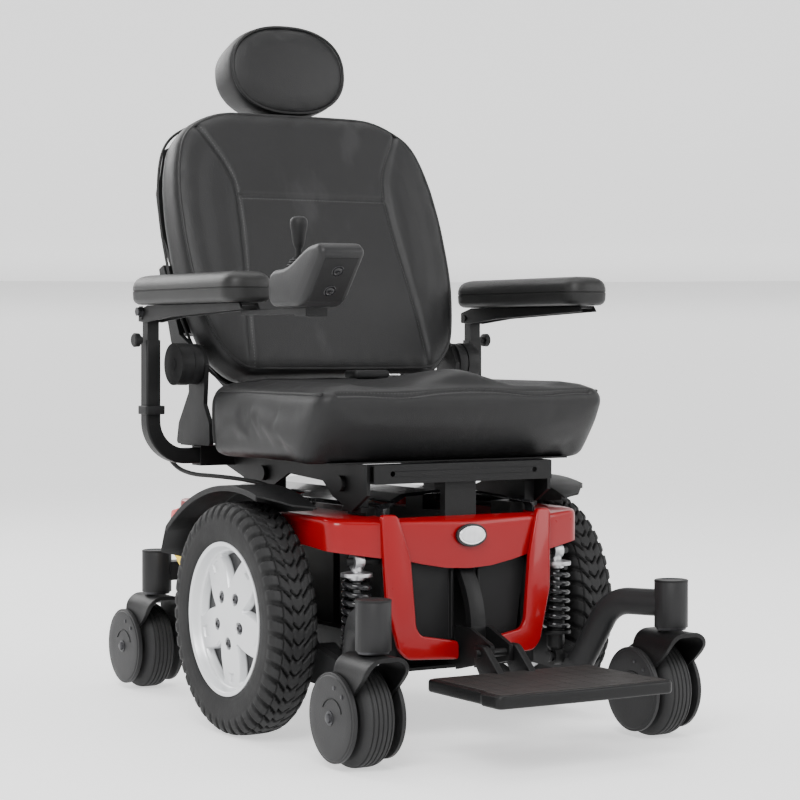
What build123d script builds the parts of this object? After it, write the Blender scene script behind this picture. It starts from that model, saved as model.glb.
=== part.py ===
"""Mid-wheel-drive power wheelchair: a captain's seat on a powered base with six wheels.

Millimetres. The chair faces -Y, +Z is up and +X is the user's left. While it is built, Y = 0 lies on
the drive axle; each piece is moved back by HALF_LENGTH_SHIFT when it is written, so that the origin is
on the floor under the middle of the chair's box.
"""

from build123d import *
import math
import os

# ---------------------------------------------------------------- driving dimensions
DRIVE_RADIUS = 178.0           # 14 inch drive tyre
DRIVE_WIDTH = 78.0
TRACK_HALF = 270.0             # drive wheel centre from the middle of the chair
RIM_RADIUS = 118.0
CASTER_RADIUS = 73.0           # 6 inch caster
CASTER_WIDTH = 50.0
TRAIL = 44.0                   # caster axle behind its swivel axis
FRONT_STEM = (262.0, -377.0)   # swivel axis of the front casters
REAR_STEM = (190.0, 481.0)     # swivel axis of the rear casters
FRONT_EDGE = -530.0            # front of the foot platform
SEAT_BOTTOM = 421.0            # underside of the seat cushion
SEAT_HALF = 250.0
SEAT_FRONT = -235.0
SEAT_REAR = 163.0
SEAT_TOP = 543.0
RECLINE = 21.0                 # backrest angle from upright, degrees
PIVOT_Y = 218.0                # recline axis
PIVOT_Z = 565.0
PAD_X = 310.0                  # armrest pads and their posts
PAD_HALF = 40.0
POST_Y = 249.5
FLIP_Y = 250.0                 # armrest flip-up axis
FLIP_Z = 650.0
ARM_PIVOT_Y = -70.0            # suspension arm axis
ARM_PIVOT_Z = 120.0
SHOCK_X = 180.0
SHOCK_Y = -190.0
SHOCK_TOP = 275.0
SHOCK_BOTTOM = 110.0
FOOT_PIN_Y = -297.0            # foot platform hinge
FOOT_PIN_Z = 140.0
RUN = 0.05                     # radial clearance of a running fit
REAR_EDGE = REAR_STEM[1] + TRAIL + CASTER_RADIUS
HALF_LENGTH_SHIFT = -(FRONT_EDGE + REAR_EDGE) / 2
SIDES = {"right": -1, "left": 1}


# ---------------------------------------------------------------- shape helpers
def block(x0, x1, y0, y1, z0, z1):
    """Box between two opposite corners."""
    return Pos((x0 + x1) / 2, (y0 + y1) / 2, (z0 + z1) / 2) * Box(x1 - x0, y1 - y0, z1 - z0)


def rod_x(radius, x0, x1, y, z):
    """Cylinder along X."""
    return Pos((x0 + x1) / 2, y, z) * Rot(0, 90, 0) * Cylinder(radius, x1 - x0)


def rod_y(radius, y0, y1, x, z):
    """Cylinder along Y."""
    return Pos(x, (y0 + y1) / 2, z) * Rot(90, 0, 0) * Cylinder(radius, y1 - y0)


def rod_z(radius, z0, z1, x, y):
    """Cylinder along Z."""
    return Pos(x, y, (z0 + z1) / 2) * Cylinder(radius, z1 - z0)


def outline(points, radius=0.0):
    """Flat face through the points, with its corners rounded."""
    face = make_face(Polyline(*points, close=True))
    return fillet(face.vertices(), radius) if radius else face


def plate_x(points, x0, x1, radius=0.0):
    """Plate whose outline is given as (y, z), from x0 to x1."""
    plane = Plane(origin=(x0, 0, 0), x_dir=(0, 1, 0), z_dir=(1, 0, 0))
    return extrude(plane * outline(points, radius), amount=x1 - x0)


def plate_y(points, y0, y1, radius=0.0):
    """Plate whose outline is given as (x, z), from y0 to y1."""
    plane = Plane(origin=(0, y1, 0), x_dir=(1, 0, 0), z_dir=(0, -1, 0))
    return extrude(plane * outline(points, radius), amount=y1 - y0)


def plate_z(points, z0, z1, radius=0.0):
    """Plate whose outline is given as (x, y), from z0 to z1."""
    return extrude(Pos(0, 0, z0) * outline(points, radius), amount=z1 - z0)


def both(points):
    """Outline made symmetric about X = 0 from its right-hand half, listed from top to bottom."""
    return points + [(-x, other) for x, other in reversed(points) if x]


def mirrored(shape):
    """The same piece on the other side of the chair."""
    return mirror(shape, Plane.YZ)


def pair(shape):
    """A piece and its mirror image as one group."""
    return [*shape.solids(), *mirrored(shape).solids()]


def spin_x(points, y, z):
    """Solid of revolution about an axis along X; points are (x, radius)."""
    plane = Plane(origin=(0, y, z), x_dir=(1, 0, 0), z_dir=(0, -1, 0))
    return revolve(plane * outline(points), axis=Axis((0, y, z), (1, 0, 0)))


def spin_z(points, x, y):
    """Solid of revolution about a vertical axis; points are (radius, z)."""
    plane = Plane(origin=(x, y, 0), x_dir=(1, 0, 0), z_dir=(0, -1, 0))
    return revolve(plane * outline(points), axis=Axis((x, y, 0), (0, 0, 1)))


def tube(points, radii, radius):
    """Round bar along straight runs joined by tangent arcs."""
    path = FilletPolyline(*points, radius=radii)
    return sweep(Plane(origin=path @ 0, z_dir=path % 0) * Circle(radius), path)


def soften(shape, edges, radius):
    """Round the given edges."""
    return fillet(edges, radius) if radius else shape


# ---------------------------------------------------------------- base
RAIL_IN, RAIL_OUT = 113.0, 138.0
FRAME_FRONT, FRAME_REAR = -190.0, 355.0
TAIL_REAR = 430.0              # narrow tail between the rear casters


def chassis_frame():
    """Welded cage: low and high rails, uprights, cross members, tray, narrow tail and pivot pins."""
    low, high = (110.0, 160.0), (300.0, 325.0)
    shape = block(-RAIL_OUT, RAIL_OUT, FRAME_FRONT, FRAME_REAR, low[0] - 5, low[0])
    side = block(RAIL_IN, RAIL_OUT, FRAME_FRONT, FRAME_REAR, *low)
    side += block(RAIL_IN, RAIL_OUT, FRAME_FRONT, 300, *high)
    side += block(RAIL_IN, RAIL_OUT, FRAME_FRONT, FRAME_FRONT + 25, low[1], high[0])
    side += block(RAIL_IN, RAIL_OUT, 275, 300, low[1], high[0])
    side += rod_x(10, RAIL_OUT, 224, ARM_PIVOT_Y, ARM_PIVOT_Z)
    side += rod_x(6, RAIL_OUT, 200, SHOCK_Y, SHOCK_TOP)
    side += plate_x([(-204, 262), (-176, 262), (-170, 300), (-190, 300), (-204, 288)], 125, RAIL_OUT + 6)
    shape += side + mirrored(side)
    for y in (FRAME_FRONT, 275.0):
        shape += block(-RAIL_IN, RAIL_IN, y, y + 25, *high)
    shape += block(-RAIL_IN, RAIL_IN, FRAME_REAR - 25, FRAME_REAR, *low)
    for x in (-52.0, 32.0):
        shape += block(x, x + 20, FRAME_REAR, TAIL_REAR, *low)
    shape += plate_y(both([(52, 110), (52, 200), (30, 232)]), TAIL_REAR, TAIL_REAR + 12, 8)
    shape += rod_y(10, TAIL_REAR + 12, 512, 0, BEAM_Z)
    return shape


def batteries():
    """Two sealed batteries in the tray, one behind the other."""
    cells = []
    for y0 in (-155.0, 5.0):
        case = block(-109, 109, y0, y0 + 140, 110, 280)
        case += rod_z(8, 280, 292, -70, y0 + 25)
        case += rod_z(8, 280, 292, 70, y0 + 25)
        cells += case.solids()
    return cells


SHROUD_REAR = 330.0


def shroud_mass(inset):
    """Outer body of the shroud, or its hollow when inset: front, plan and side outlines together."""
    half = 225.0 - inset
    hem = [(half, 291), (132, 276), (100, 272), (0, 258)] if not inset else [(half, 200), (0, 200)]
    front = both([(0, 349 - inset), (70, 347 - inset), (150, 338 - inset), (half, 346 - inset), *hem])
    plan = both([(0, -221 + inset), (150, -212 + inset), (half, -198 + inset), (half, SHROUD_REAR - inset)])
    side = [(-230, 150), (-230, 322 - inset), (-213, 333 - inset), (-150, 352), (400, 360), (400, 150)]
    body = plate_y(front, -230, 400) & plate_z(plan, 100, 380)
    return body & plate_x(side, -260, 260)


def body_shroud():
    """Moulded bonnet over the base: front band, two wings, and an opening for the top cover."""
    skin = 4.0
    shell = shroud_mass(0) - shroud_mass(skin)
    shell -= block(-138, 138, -196, SHROUD_REAR - 8, 300, 400)
    for y0, y1 in POST_ROWS:
        shell -= block(100, 164, y0 - 4, y1 + 4, 320, 380) + block(-164, -100, y0 - 4, y1 + 4, 320, 380)
    x, y = CABLE_ROUTE[-1][:2]
    return shell + rod_z(8, 336, CABLE_ROUTE[-1][2], x, y)


def front_trim():
    """Two red bars that frame the front panel and turn in at the bottom."""
    bar = [(150, 337), (145, 218), (124, 146), (26, 126), (26, 150), (94, 166), (106, 276), (128, 340)]
    return pair(plate_y(bar, -229, -221.3, 3))


def front_panel():
    """Black lower front panel with a slot for the footrest mast."""
    panel = plate_y(both([(112, 270), (96, 152), (60, 148)]), -203, -197)
    for x in (-24.0, 24.0):
        panel += block(x - 2, x + 2, -209, -203, 152, 256)
    return panel - block(-17, 17, -215, -190, 140, 262)


def top_cover():
    """Gloss black lid on the shroud, with a crown and cut-outs for the seat posts."""
    crown, wall = 372.0, 4.0
    outer = plate_y(both([(0, crown), (70, crown - 3), (132, 356), (137, 350), (137, 338)]), -195, 321)
    inner = plate_y(both([(0, crown - wall), (70, crown - 3 - wall), (129, 352), (133, 346), (133, 330)]),
                    -200, 330)
    nose = plate_x([(-195, 330), (-195, 352), (-120, 374), (330, 374), (330, 330)], -150, 150)
    lid = (outer - inner) & nose
    for y0, y1 in POST_ROWS:
        lid -= block(104, 150, y0 - 4, y1 + 4, 320, 380) + block(-150, -104, y0 - 4, y1 + 4, 320, 380)
    return lid - block(-32, 32, -200, -136, 320, 380)


def rear_cover():
    """Rear housing over the charger and wiring, open at the front."""
    outer = plate_x([(331, 176), (331, 340), (400, 330), (427, 290), (427, 176)], -108, 108, 10)
    inner = plate_x([(320, 180), (320, 336), (397, 326), (423, 288), (423, 180)], -104, 104)
    return outer - inner


def fenders():
    """Thin arched guards over the drive wheels, each with an inner wall down to the shroud."""
    centre_y, centre_z, radius, sheet = -10.0, 12.0, 370.0, 3.0
    arch = rod_x(radius, 225.3, 300, centre_y, centre_z) - rod_x(radius - sheet, 220, 305, centre_y, centre_z)
    plan = [(225.3, -150), (262, -138), (300, -96), (300, 215), (286, 262), (225.3, 275)]
    guard = arch & plate_z(plan, 200, 400)
    wall = rod_x(radius, 225.3, 228.3, centre_y, centre_z)
    wall &= plate_x([(-140, 349), (-140, 400), (200, 400), (200, 322)], 225.3, 228.3)
    lip = rod_x(radius, 297, 300, centre_y, centre_z) - rod_x(radius - 9, 290, 305, centre_y, centre_z)
    lip &= block(290, 300, -96, 215, 200, 400)
    return pair(guard + wall + lip)


POST_ROWS = ((-168.0, -112.0), (92.0, 146.0))
POST_BOLTS = ((-123.0, 387.0), (149.0 - 22.0, 391.0))
PLATE_IN, PLATE_OUT = 160.0, 166.0


def seat_posts():
    """Four clamp towers and a centre rest that carry the seat on the frame's high rails."""
    towers = []
    for (y0, y1), (bolt_y, bolt_z) in zip(POST_ROWS, POST_BOLTS):
        tower = block(110, 159.7, y0, y1, 325, 352)
        tower += plate_x([(y0 + 8, 350), (y0 + 8, 384), (bolt_y - 14, bolt_z + 14), (bolt_y + 14, bolt_z + 14),
                          (y1 - 4, 350)], 142, 159.7)
        tower += rod_x(7, 159.7, 172, bolt_y, bolt_z)
        tower += rod_x(12, PLATE_OUT + 0.3, 174, bolt_y, bolt_z)
        tower -= block(150, 170, y0 - 5, y1 + 5, 320, 345)
        towers += pair(tower)
    rest = block(-28, 28, -195, -165, 300 + 25, 388.7) - block(-40, 40, -180, -150, 340, 376)
    return [*towers, *rest.solids()]


def footrest_mast():
    """Curved arm down the front of the base, ending in a clevis with the platform's hinge pin."""
    arc = ThreePointArc((-206, 262), (-236, 215), (-243, 140))
    back = ThreePointArc((-231, 140), (-223, 210), (-196, 255))
    edge = make_face(Curve() + [arc, Line(arc @ 1, back @ 0), back, Line(back @ 1, arc @ 0)])
    plane = Plane(origin=(-13, 0, 0), x_dir=(0, 1, 0), z_dir=(1, 0, 0))
    mast = extrude(plane * edge, amount=26)
    cheek = plate_x([(-212, 172), (-252, 172), (-308, 152), (-308, 128), (-212, 106)], 13, 20)
    mast += cheek + mirrored(cheek)
    mast += block(-20, 20, -222, -190.3, 112, 147)
    mast += rod_x(6, -40, 40, FOOT_PIN_Y, FOOT_PIN_Z)
    return mast


def badge():
    """Plain oval badge in the middle of the front band."""
    disc = Pos(0, -221.2, 309) * Rot(90, 0, 0) * extrude(Ellipse(24, 15), amount=4)
    return disc


# ---------------------------------------------------------------- suspension and drive (left side)
def suspension_arm():
    """Rocker: plate with motor ring and pivot boss, tube to the front caster and its swivel collar."""
    plate = plate_x([(-238, 84), (-20, 90), (44, 140), (44, 215), (-40, 215), (-110, 144), (-238, 120)],
                    198, 212, 6)
    shape = plate - rod_x(30.3, 190, 220, 0, DRIVE_RADIUS)
    shape += rod_x(20, 150, 212, ARM_PIVOT_Y, ARM_PIVOT_Z)
    shape -= rod_x(10 + RUN, 140, 230, ARM_PIVOT_Y, ARM_PIVOT_Z)
    x, y = FRONT_STEM
    shape += tube([(x, y, 205), (225, -277, 203), (205, -222, 102)], [58], 20.5)
    shape += rod_x(6, 168, 198, SHOCK_Y, SHOCK_BOTTOM) + rod_x(9, 164, 168, SHOCK_Y, SHOCK_BOTTOM)
    shape += rod_z(25.5, 170, 240, x, y)
    return shape - rod_z(12 + RUN, 160, 230, x, y)


def drive_motor():
    """Gearbox on the axle, motor behind it and the output shaft in the wheel's hub."""
    shape = rod_x(50, 142, 197.7, 0, DRIVE_RADIUS)
    shape += rod_x(30, 190, 227, 0, DRIVE_RADIUS)
    shape += rod_x(9.5, 220, 296, 0, DRIVE_RADIUS)
    shape += rod_y(40, 50, 300, 183, DRIVE_RADIUS + 4)
    shape += rod_y(34, 300, 326, 183, DRIVE_RADIUS + 4)
    shape += block(150, 197, 30, 60, DRIVE_RADIUS - 34, DRIVE_RADIUS + 38)
    shape += block(190, 210, 306, 322, 210, 236)
    shape += rod_x(4, 180, 190, 322, 232) + rod_x(4, 210, 220, 322, 232)
    return shape - rod_x(30 + 10, 197.7, 212.3, 0, DRIVE_RADIUS) + rod_x(30, 197, 213, 0, DRIVE_RADIUS)


def freewheel_lever():
    """Yellow brake release lever at the back of the motor, forked round its pivot lug."""
    arm = plate_x([(314, 224), (330, 224), (392, 272), (386, 284), (370, 282), (314, 240)], 211, 217, 3)
    arm += plate_x([(314, 224), (330, 224), (345, 236), (345, 252), (314, 240)], 183, 189, 3)
    arm += block(189, 211, 334, 345, 240, 252)
    return arm - rod_x(4 + RUN, 170, 230, 322, 232)


def drive_tyre():
    """Tyre, plain section: bead, sidewall, shoulder and crown."""
    half = DRIVE_WIDTH / 2
    profile = both([(34, RIM_RADIUS), (37.5, 132), (half, 150), (37, 164), (28, 175), (0, DRIVE_RADIUS)])
    profile = [(x + TRACK_HALF, r) for x, r in profile]
    return spin_x(profile, 0, DRIVE_RADIUS)


SPOKES = 5


def drive_rim():
    """Cast rim with five pairs of spokes, pockets between them and five wheel nuts in recesses."""
    x = TRACK_HALF
    profile = [(-36, RIM_RADIUS), (36, RIM_RADIUS), (36, 110), (31, 107), (25, 100), (27, 40), (27, 9.55),
               (-38, 9.55), (-38, 30), (8, 34), (10, 98), (-30, 104), (-36, 110)]
    rim = spin_x([(x + a, r) for a, r in profile], 0, DRIVE_RADIUS)
    pocket = plate_x([(-13, 56), (-28, 98), (28, 98), (13, 56)], x + 16, x + 40, 6)
    slot = plate_x([(-5, 46), (-9, 96), (9, 96), (5, 46)], x + 21, x + 40, 4)
    for index in range(SPOKES):
        turn = Pos(0, 0, DRIVE_RADIUS) * Rot(index * 360 / SPOKES + 36, 0, 0)
        rim -= turn * pocket
        rim -= turn * Rot(36, 0, 0) * slot
        rim -= turn * Rot(36, 0, 0) * rod_x(9, x + 16, x + 40, 0, 38)
    nuts = []
    for index in range(SPOKES):
        turn = Pos(0, 0, DRIVE_RADIUS) * Rot(index * 360 / SPOKES + 72, 0, 0)
        hexagon = Plane(origin=(x + 16, 0, 38), x_dir=(0, 1, 0), z_dir=(1, 0, 0)) * RegularPolygon(7, 6)
        nuts += (turn * extrude(hexagon, amount=9)).solids()
    return [*rim.solids(), *nuts]


def shock_rod():
    """Upper eye, spring seat and piston rod."""
    shape = rod_x(12, 172, 188, SHOCK_Y, SHOCK_TOP)
    shape += spin_z([(0, 172), (6, 172), (6, 244), (13, 248), (13, 252.5), (24, 252.5), (24, 258), (9, 261), (9, 270),
                     (0, 270)],
                    SHOCK_X, SHOCK_Y)
    return shape - rod_x(6 + RUN, 160, 200, SHOCK_Y, SHOCK_TOP)


def shock_body():
    """Damper cylinder with the lower spring seat and an eye that rides on the arm's pin."""
    shape = spin_z([(0, 118), (8, 118), (14, 126), (14, 144), (24, 146), (24, 151), (14, 151), (14, 205), (0, 205)],
                   SHOCK_X, SHOCK_Y)
    shape += rod_x(14, 172, 188, SHOCK_Y, SHOCK_BOTTOM)
    shape -= rod_z(6 + RUN, 150, 210, SHOCK_X, SHOCK_Y)
    return shape - rod_x(8.5, 160, 200, SHOCK_Y, SHOCK_BOTTOM)


def shock_spring():
    """Coil spring between the two seats."""
    wire, mean, turns = 3.2, 20.5, 6.5
    low, high = 151 + wire + 0.1, 252.5 - wire - 0.1
    helix = Helix(pitch=(high - low) / turns, height=high - low, radius=mean)
    coil = sweep(Plane(origin=helix @ 0, z_dir=helix % 0) * Circle(wire), helix, is_frenet=True)
    return Pos(SHOCK_X, SHOCK_Y, low) * coil


# ---------------------------------------------------------------- casters (stem at the origin)
FORK_TOP = 168.0


def caster_fork():
    """Swivel pin, bridge over the wheel, two cranked legs and the axle bolt."""
    arch = [(50, FORK_TOP), (50, 148), (36, 112), (36, 40), (30, 40), (30, 109), (44, 147), (44, 154)]
    side = [(-30, FORK_TOP), (34, FORK_TOP), (66, 118), (66, 52), (44, 44), (22, 54), (-6, 112), (-30, 142)]
    shape = plate_y(both(arch), -40, 90) & plate_x(side, -60, 60, 5)
    shape += rod_z(18, FORK_TOP, 169.8, 0, 0) + rod_z(12, FORK_TOP, 226, 0, 0)
    return shape + rod_x(6, -40, 40, TRAIL, CASTER_RADIUS)


def caster_covers():
    """Round covers on the outside of the fork's legs."""
    fork = caster_fork()
    disc = spin_x([(36.2, 16), (36.2, 62), (40, 61), (44.5, 50), (45, 16)], TRAIL, CASTER_RADIUS)
    disc -= block(30, 60, -80, 140, 118, 170)
    cover = disc - fork
    biggest = max(cover.solids(), key=lambda solid: solid.volume)
    return pair(biggest)


def caster_wheel():
    """Solid tyre moulded on its hub."""
    half = CASTER_WIDTH / 2
    profile = both([(28, 6 + RUN), (28, 13), (18, 20), (18, 42), (half - 2, 46), (half, 58), (half - 5, 68),
                    (half - 14, CASTER_RADIUS - 0.8), (0, CASTER_RADIUS)])
    return spin_x(profile, TRAIL, CASTER_RADIUS)


BEAM_Z = 205.0


def rear_beam():
    """Rocking cross beam with a swivel collar at each end and a pivot in the middle."""
    x, y = REAR_STEM
    beam = block(-x, x, y - 18, y + 18, BEAM_Z - 16, BEAM_Z + 16)
    beam += rod_y(24, y - 25, y + 25, 0, BEAM_Z)
    beam += rod_z(25.5, 170, 240, x, y) + rod_z(25.5, 170, 240, -x, y)
    beam -= rod_y(10 + RUN, y - 60, y + 60, 0, BEAM_Z)
    return beam - rod_z(12 + RUN, 160, 230, x, y) - rod_z(12 + RUN, 160, 230, -x, y)


def footplate():
    """Foot platform with a raised rim, a cut-back beside each caster and two hinge ears."""
    plan = both([(150, -480), (145, -474), (145, -328)])
    plan = [(0, FRONT_EDGE), (150, FRONT_EDGE + 3)] + plan[:3] + plan[3:] + [(-150, FRONT_EDGE + 3)]
    slab = plate_z(plan, 103, 115)
    skirt = plate_z(plan, 97, 103) - block(-139, 139, FRONT_EDGE + 8, -334, 90, 103)
    ear = plate_x([(-284, 152), (-310, 152), (-350, 117), (-350, 106), (-300, 106), (-284, 126)], 22, 34, 4)
    ear -= rod_x(6 + RUN, 10, 50, FOOT_PIN_Y, FOOT_PIN_Z)
    return slab + skirt + ear + mirrored(ear)


# ---------------------------------------------------------------- seat
TUBE = 25.0
SOCKET_HALF = 228.0


def seat_frame():
    """Seat carrier: front cross tube, two side plates, rear socket tube and the seat pan."""
    wall = 3.0
    tube_front = block(-PLATE_IN, PLATE_IN, -208, -177, 389, 418)
    tube_front -= block(-PLATE_IN - 1, PLATE_IN + 1, -208 + wall, -177 - wall, 389 + wall, 418 - wall)
    for x in (-128.0, 128.0):
        tube_front -= rod_y(4, -212, -200, x, 404)
    plate = plate_x([(-196, 418), (-196, 372), (-150, 346), (-92, 366), (-62, 388), (48, 394), (100, 372),
                     (172, 372), (266, 398), (266, 418)], PLATE_IN, PLATE_OUT)
    for bolt_y, bolt_z in POST_BOLTS:
        plate -= rod_x(7.2, 150, 180, bolt_y, bolt_z)
    shape = tube_front + plate + mirrored(plate)
    hole = TUBE / 2 + 0.2
    shape += block(-SOCKET_HALF, SOCKET_HALF, POST_Y - 16.5, POST_Y + 16.5, 399, 432)
    shape -= block(-240, 240, POST_Y - hole, POST_Y + hole, 415.5 - hole, 415.5 + hole)
    return shape + block(-215, 215, -172, 150, 418, SEAT_BOTTOM - 0.3)


def seat_cushion():
    """Deep seat cushion with an undercut front."""
    side = [(-171, SEAT_BOTTOM), (-222, 470), (SEAT_FRONT, 515), (-228, SEAT_TOP), (SEAT_REAR, SEAT_TOP),
            (SEAT_REAR, 470), (150, SEAT_BOTTOM)]
    return plate_x(side, -SEAT_HALF, SEAT_HALF, 12)


def arm_tubes():
    """Two bent square tubes from the rear socket up to the armrests."""
    path = FilletPolyline((130, POST_Y, 415.5), (PAD_X, POST_Y, 415.5), (PAD_X, POST_Y, 604), radius=58)
    profile = Plane(origin=path @ 0, z_dir=path % 0) * RectangleRounded(TUBE, TUBE, 3)
    shape = sweep(profile, path)
    inner = 10.0 + 0.1
    return pair(shape - block(PAD_X - inner, PAD_X + inner, POST_Y - inner, POST_Y + inner, 480, 620))


def arm_post():
    """Sliding inner post with the armrest's hinge pin."""
    shape = block(PAD_X - 10, PAD_X + 10, POST_Y - 10, POST_Y + 9.5, 484, 652)
    return shape + rod_x(5, PAD_X - 18, PAD_X + 18, FLIP_Y, FLIP_Z - 8)


def arm_bracket(side):
    """Flip-up armrest carrier; the right one runs on as the controller's rail."""
    cheek = plate_x([(262, 634), (262, 652), (230, 659.7), (-92, 659.7), (-100, 650), (150, 640), (238, 632)],
                    PAD_X + 12, PAD_X + 16)
    shape = cheek + Pos(-28, 0, 0) * cheek
    shape += block(PAD_X - 16, PAD_X + 16, -92, 226, 655.7, 659.7)
    shape -= rod_x(5 + RUN, PAD_X - 40, PAD_X + 40, FLIP_Y, FLIP_Z - 8)
    if side < 0:
        shape += block(290, 306, -262, -60, 641, 649)
        shape += block(270, 306, -262, -228, 638, 649.7)
    return shape


def arm_pad():
    """Armrest pad."""
    pad = block(PAD_X - PAD_HALF, PAD_X + PAD_HALF, -105, 245, 660, 708)
    return soften(pad, pad.edges().filter_by(Axis.Z), 22)


# ---------------------------------------------------------------- backrest (upright, then reclined)
BACK_FRONT = -64.0             # cushion front ahead of the recline axis
BACK_DEPTH = 95.0
BACK_LOW, BACK_HIGH = -38.0, 438.0


def reclined(shape):
    """Lean a piece built around the recline axis back to the backrest's angle."""
    return Pos(0, PIVOT_Y, PIVOT_Z) * Rot(-RECLINE, 0, 0) * shape


def back_outline(inset=0.0):
    """Front view of the backrest: wide at the shoulders, round at the top."""
    half = [(184, BACK_LOW), (214, 10), (235, 110), (256, 240), (252, 320), (228, 398), (155, BACK_HIGH)]
    half = [(x - inset, z + (inset if z == BACK_LOW else -inset if z == BACK_HIGH else 0)) for x, z in half]
    return both(list(reversed(half)))


def back_cushion():
    """Thick back cushion."""
    return reclined(plate_y(back_outline(), BACK_FRONT, BACK_FRONT + BACK_DEPTH, 12))


def back_shell():
    """Rear shell with a lower rib on each side, the recliner arms and the headrest socket."""
    rear = BACK_FRONT + BACK_DEPTH
    shell = plate_y(back_outline(8), rear + 0.3, rear + 10, 12)
    arm = plate_x([(-26, -12), (18, -20), (rear + 26, 60), (rear + 26, 190), (rear + 8, 190), (rear - 8, 60),
                   (-20, 18)], 245, 253)
    arm += rod_x(33, 245, 261, 0, 0)
    arm += block(180, 253, rear + 10, rear + 26, 70, 190)
    arm -= rod_x(10 + RUN, 230, 290, 0, 0)
    socket = block(-26, 26, rear + 9, rear + 30, 280, 405) - block(-15.1, 15.1, rear + 14.9, rear + 25.1, 270, 420)
    return reclined(shell + arm + mirrored(arm) + socket)


def headrest_post():
    """Flat bar in the shell's socket, bent forward to the headrest."""
    rear = BACK_FRONT + BACK_DEPTH
    bar = block(-15, 15, rear + 15, rear + 25, 290, 506)
    bar += block(-15, 15, rear - 12, rear + 25, 494, 506)
    bar += block(-30, 30, rear - 12, rear - 8, 470, 540)
    return reclined(bar)


HEAD_Z = 1064.5
HEAD_Y = 391.0


def headrest_cushion():
    """Oval headrest."""
    oval = extrude(Ellipse(109, 76.6), amount=88)
    oval = fillet(oval.edges(), 20)
    pad = Pos(0, HEAD_Y + 42, HEAD_Z) * Rot(-8, 0, 0) * Rot(90, 0, 0) * oval
    return pad - headrest_post()


def recliner_brackets():
    """Fixed flanges on the rear socket that carry the recline pins and their round caps."""
    plate = plate_x([(170, 434), (292, 434), (284, 468), (246, 520), (250, 565), (232, 596), (204, 596),
                     (186, 565), (192, 500), (172, 470)], 236, 243.5, 6)
    shape = plate + block(212, 243.5, 226, 276, 432.2, 440)
    shape += rod_x(10, 240, 286, PIVOT_Y, PIVOT_Z)
    shape += rod_x(34, 262, 285, PIVOT_Y, PIVOT_Z)
    return pair(shape)


def lap_belt():
    """Two webbing halves lying on the cushion, with the buckle between them."""
    strap = block(-212, 212, 78, 118, SEAT_TOP + 0.5, SEAT_TOP + 3)
    return strap + block(-26, 44, 74, 122, SEAT_TOP + 0.5, SEAT_TOP + 16)


# ---------------------------------------------------------------- controller
STICK_X, STICK_Y, STICK_Z = -290.0, -212.0, 712.0


def controller_housing():
    """Joystick housing: flat at the back, rising to the front."""
    side = [(-180, 650), (-180, 706), (-238, 708), (-300, 738), (-335, 742), (-347, 728), (-282, 650)]
    shape = plate_x(side, STICK_X - 36, STICK_X + 36, 6)
    return shape - rod_z(20, 696, 720, STICK_X, STICK_Y)


def joystick_boot():
    """Rubber boot ring that tips forward and back with the stick."""
    return spin_z([(12, 704), (17, 704), (17, 714), (15, 724), (12, 724)], STICK_X, STICK_Y)


def joystick():
    """Stick with a pear-shaped knob."""
    return spin_z([(0, 706), (4, 706), (4, 734), (8, 742), (12, 762), (11, 772), (6, 780), (0, 782)],
                  STICK_X, STICK_Y)


CABLE = 3.5
CABLE_ROUTE = [(-290, 271, 618), (-291, 272, 570), (-293, 272, 525), (-294, 276, 485), (-286, 284, 450),
               (-268, 286, 420), (-256, 262, 394), (-246, 224, 386), (-228, 180, 385), (-206, 138, 382),
               (-184, 98, 376), (-168, 70, 362), (-160, 60, 343)]


def joystick_cable():
    """Controller cable down the armrest post and under the seat to the base."""
    points = [Vector(*point) for point in CABLE_ROUTE]
    runs = [(b - a).length for a, b in zip(points, points[1:])]
    radii = []
    for index in range(1, len(points) - 1):
        turn = (points[index] - points[index - 1]).get_angle(points[index + 1] - points[index])
        shorter = min(runs[index - 1], runs[index])
        radii.append(0.45 * shorter / math.tan(math.radians(turn / 2)))
    print("cable length", round(sum(runs)), "radii", [round(radius) for radius in radii])
    return tube(CABLE_ROUTE, radii, CABLE)


# ---------------------------------------------------------------- writing
def write(name, shape):
    """Write one node, moved so that the origin is under the middle of the chair."""
    solids = shape if isinstance(shape, list) else list(shape.solids())
    moved = [Pos(0, HALF_LENGTH_SHIFT, 0) * solid for solid in solids]
    export_step(Compound(children=moved) if len(moved) > 1 else moved[0], f"parts/{name}.step")


def placed(shape, x, y):
    """A caster piece, or a group of them, moved to its swivel axis."""
    solids = shape if isinstance(shape, list) else list(shape.solids())
    return [Pos(x, y, 0) * solid for solid in solids]


def sided(shape, sign):
    """A left-hand piece as it is, or mirrored for the right side."""
    solids = shape if isinstance(shape, list) else list(shape.solids())
    return solids if sign > 0 else [mirrored(solid) for solid in solids]


def main():
    """Build every piece and write it."""
    os.makedirs("parts", exist_ok=True)
    single = (chassis_frame, batteries, body_shroud, front_trim, front_panel, top_cover, rear_cover, fenders,
              seat_posts, footrest_mast, badge, rear_beam, footplate, seat_frame, seat_cushion, arm_tubes,
              back_cushion, back_shell, headrest_post, headrest_cushion, recliner_brackets, lap_belt,
              controller_housing, joystick_boot, joystick, joystick_cable)
    for build in single:
        write(build.__name__, build())
    handed = (suspension_arm, drive_motor, freewheel_lever, drive_tyre, drive_rim, shock_rod, shock_body,
              shock_spring, arm_post, arm_pad)
    for build in handed:
        shape = build()
        for side, sign in SIDES.items():
            write(f"{build.__name__}_{side}", sided(shape, sign))
    for side, sign in SIDES.items():
        write(f"arm_bracket_{side}", sided(arm_bracket(sign), sign))
    for build in (caster_fork, caster_covers, caster_wheel):
        shape = build()
        for end, (x, y) in (("front", FRONT_STEM), ("rear", REAR_STEM)):
            for side, sign in SIDES.items():
                write(f"{build.__name__}_{end}_{side}", placed(shape, sign * x, y))


main()
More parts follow.
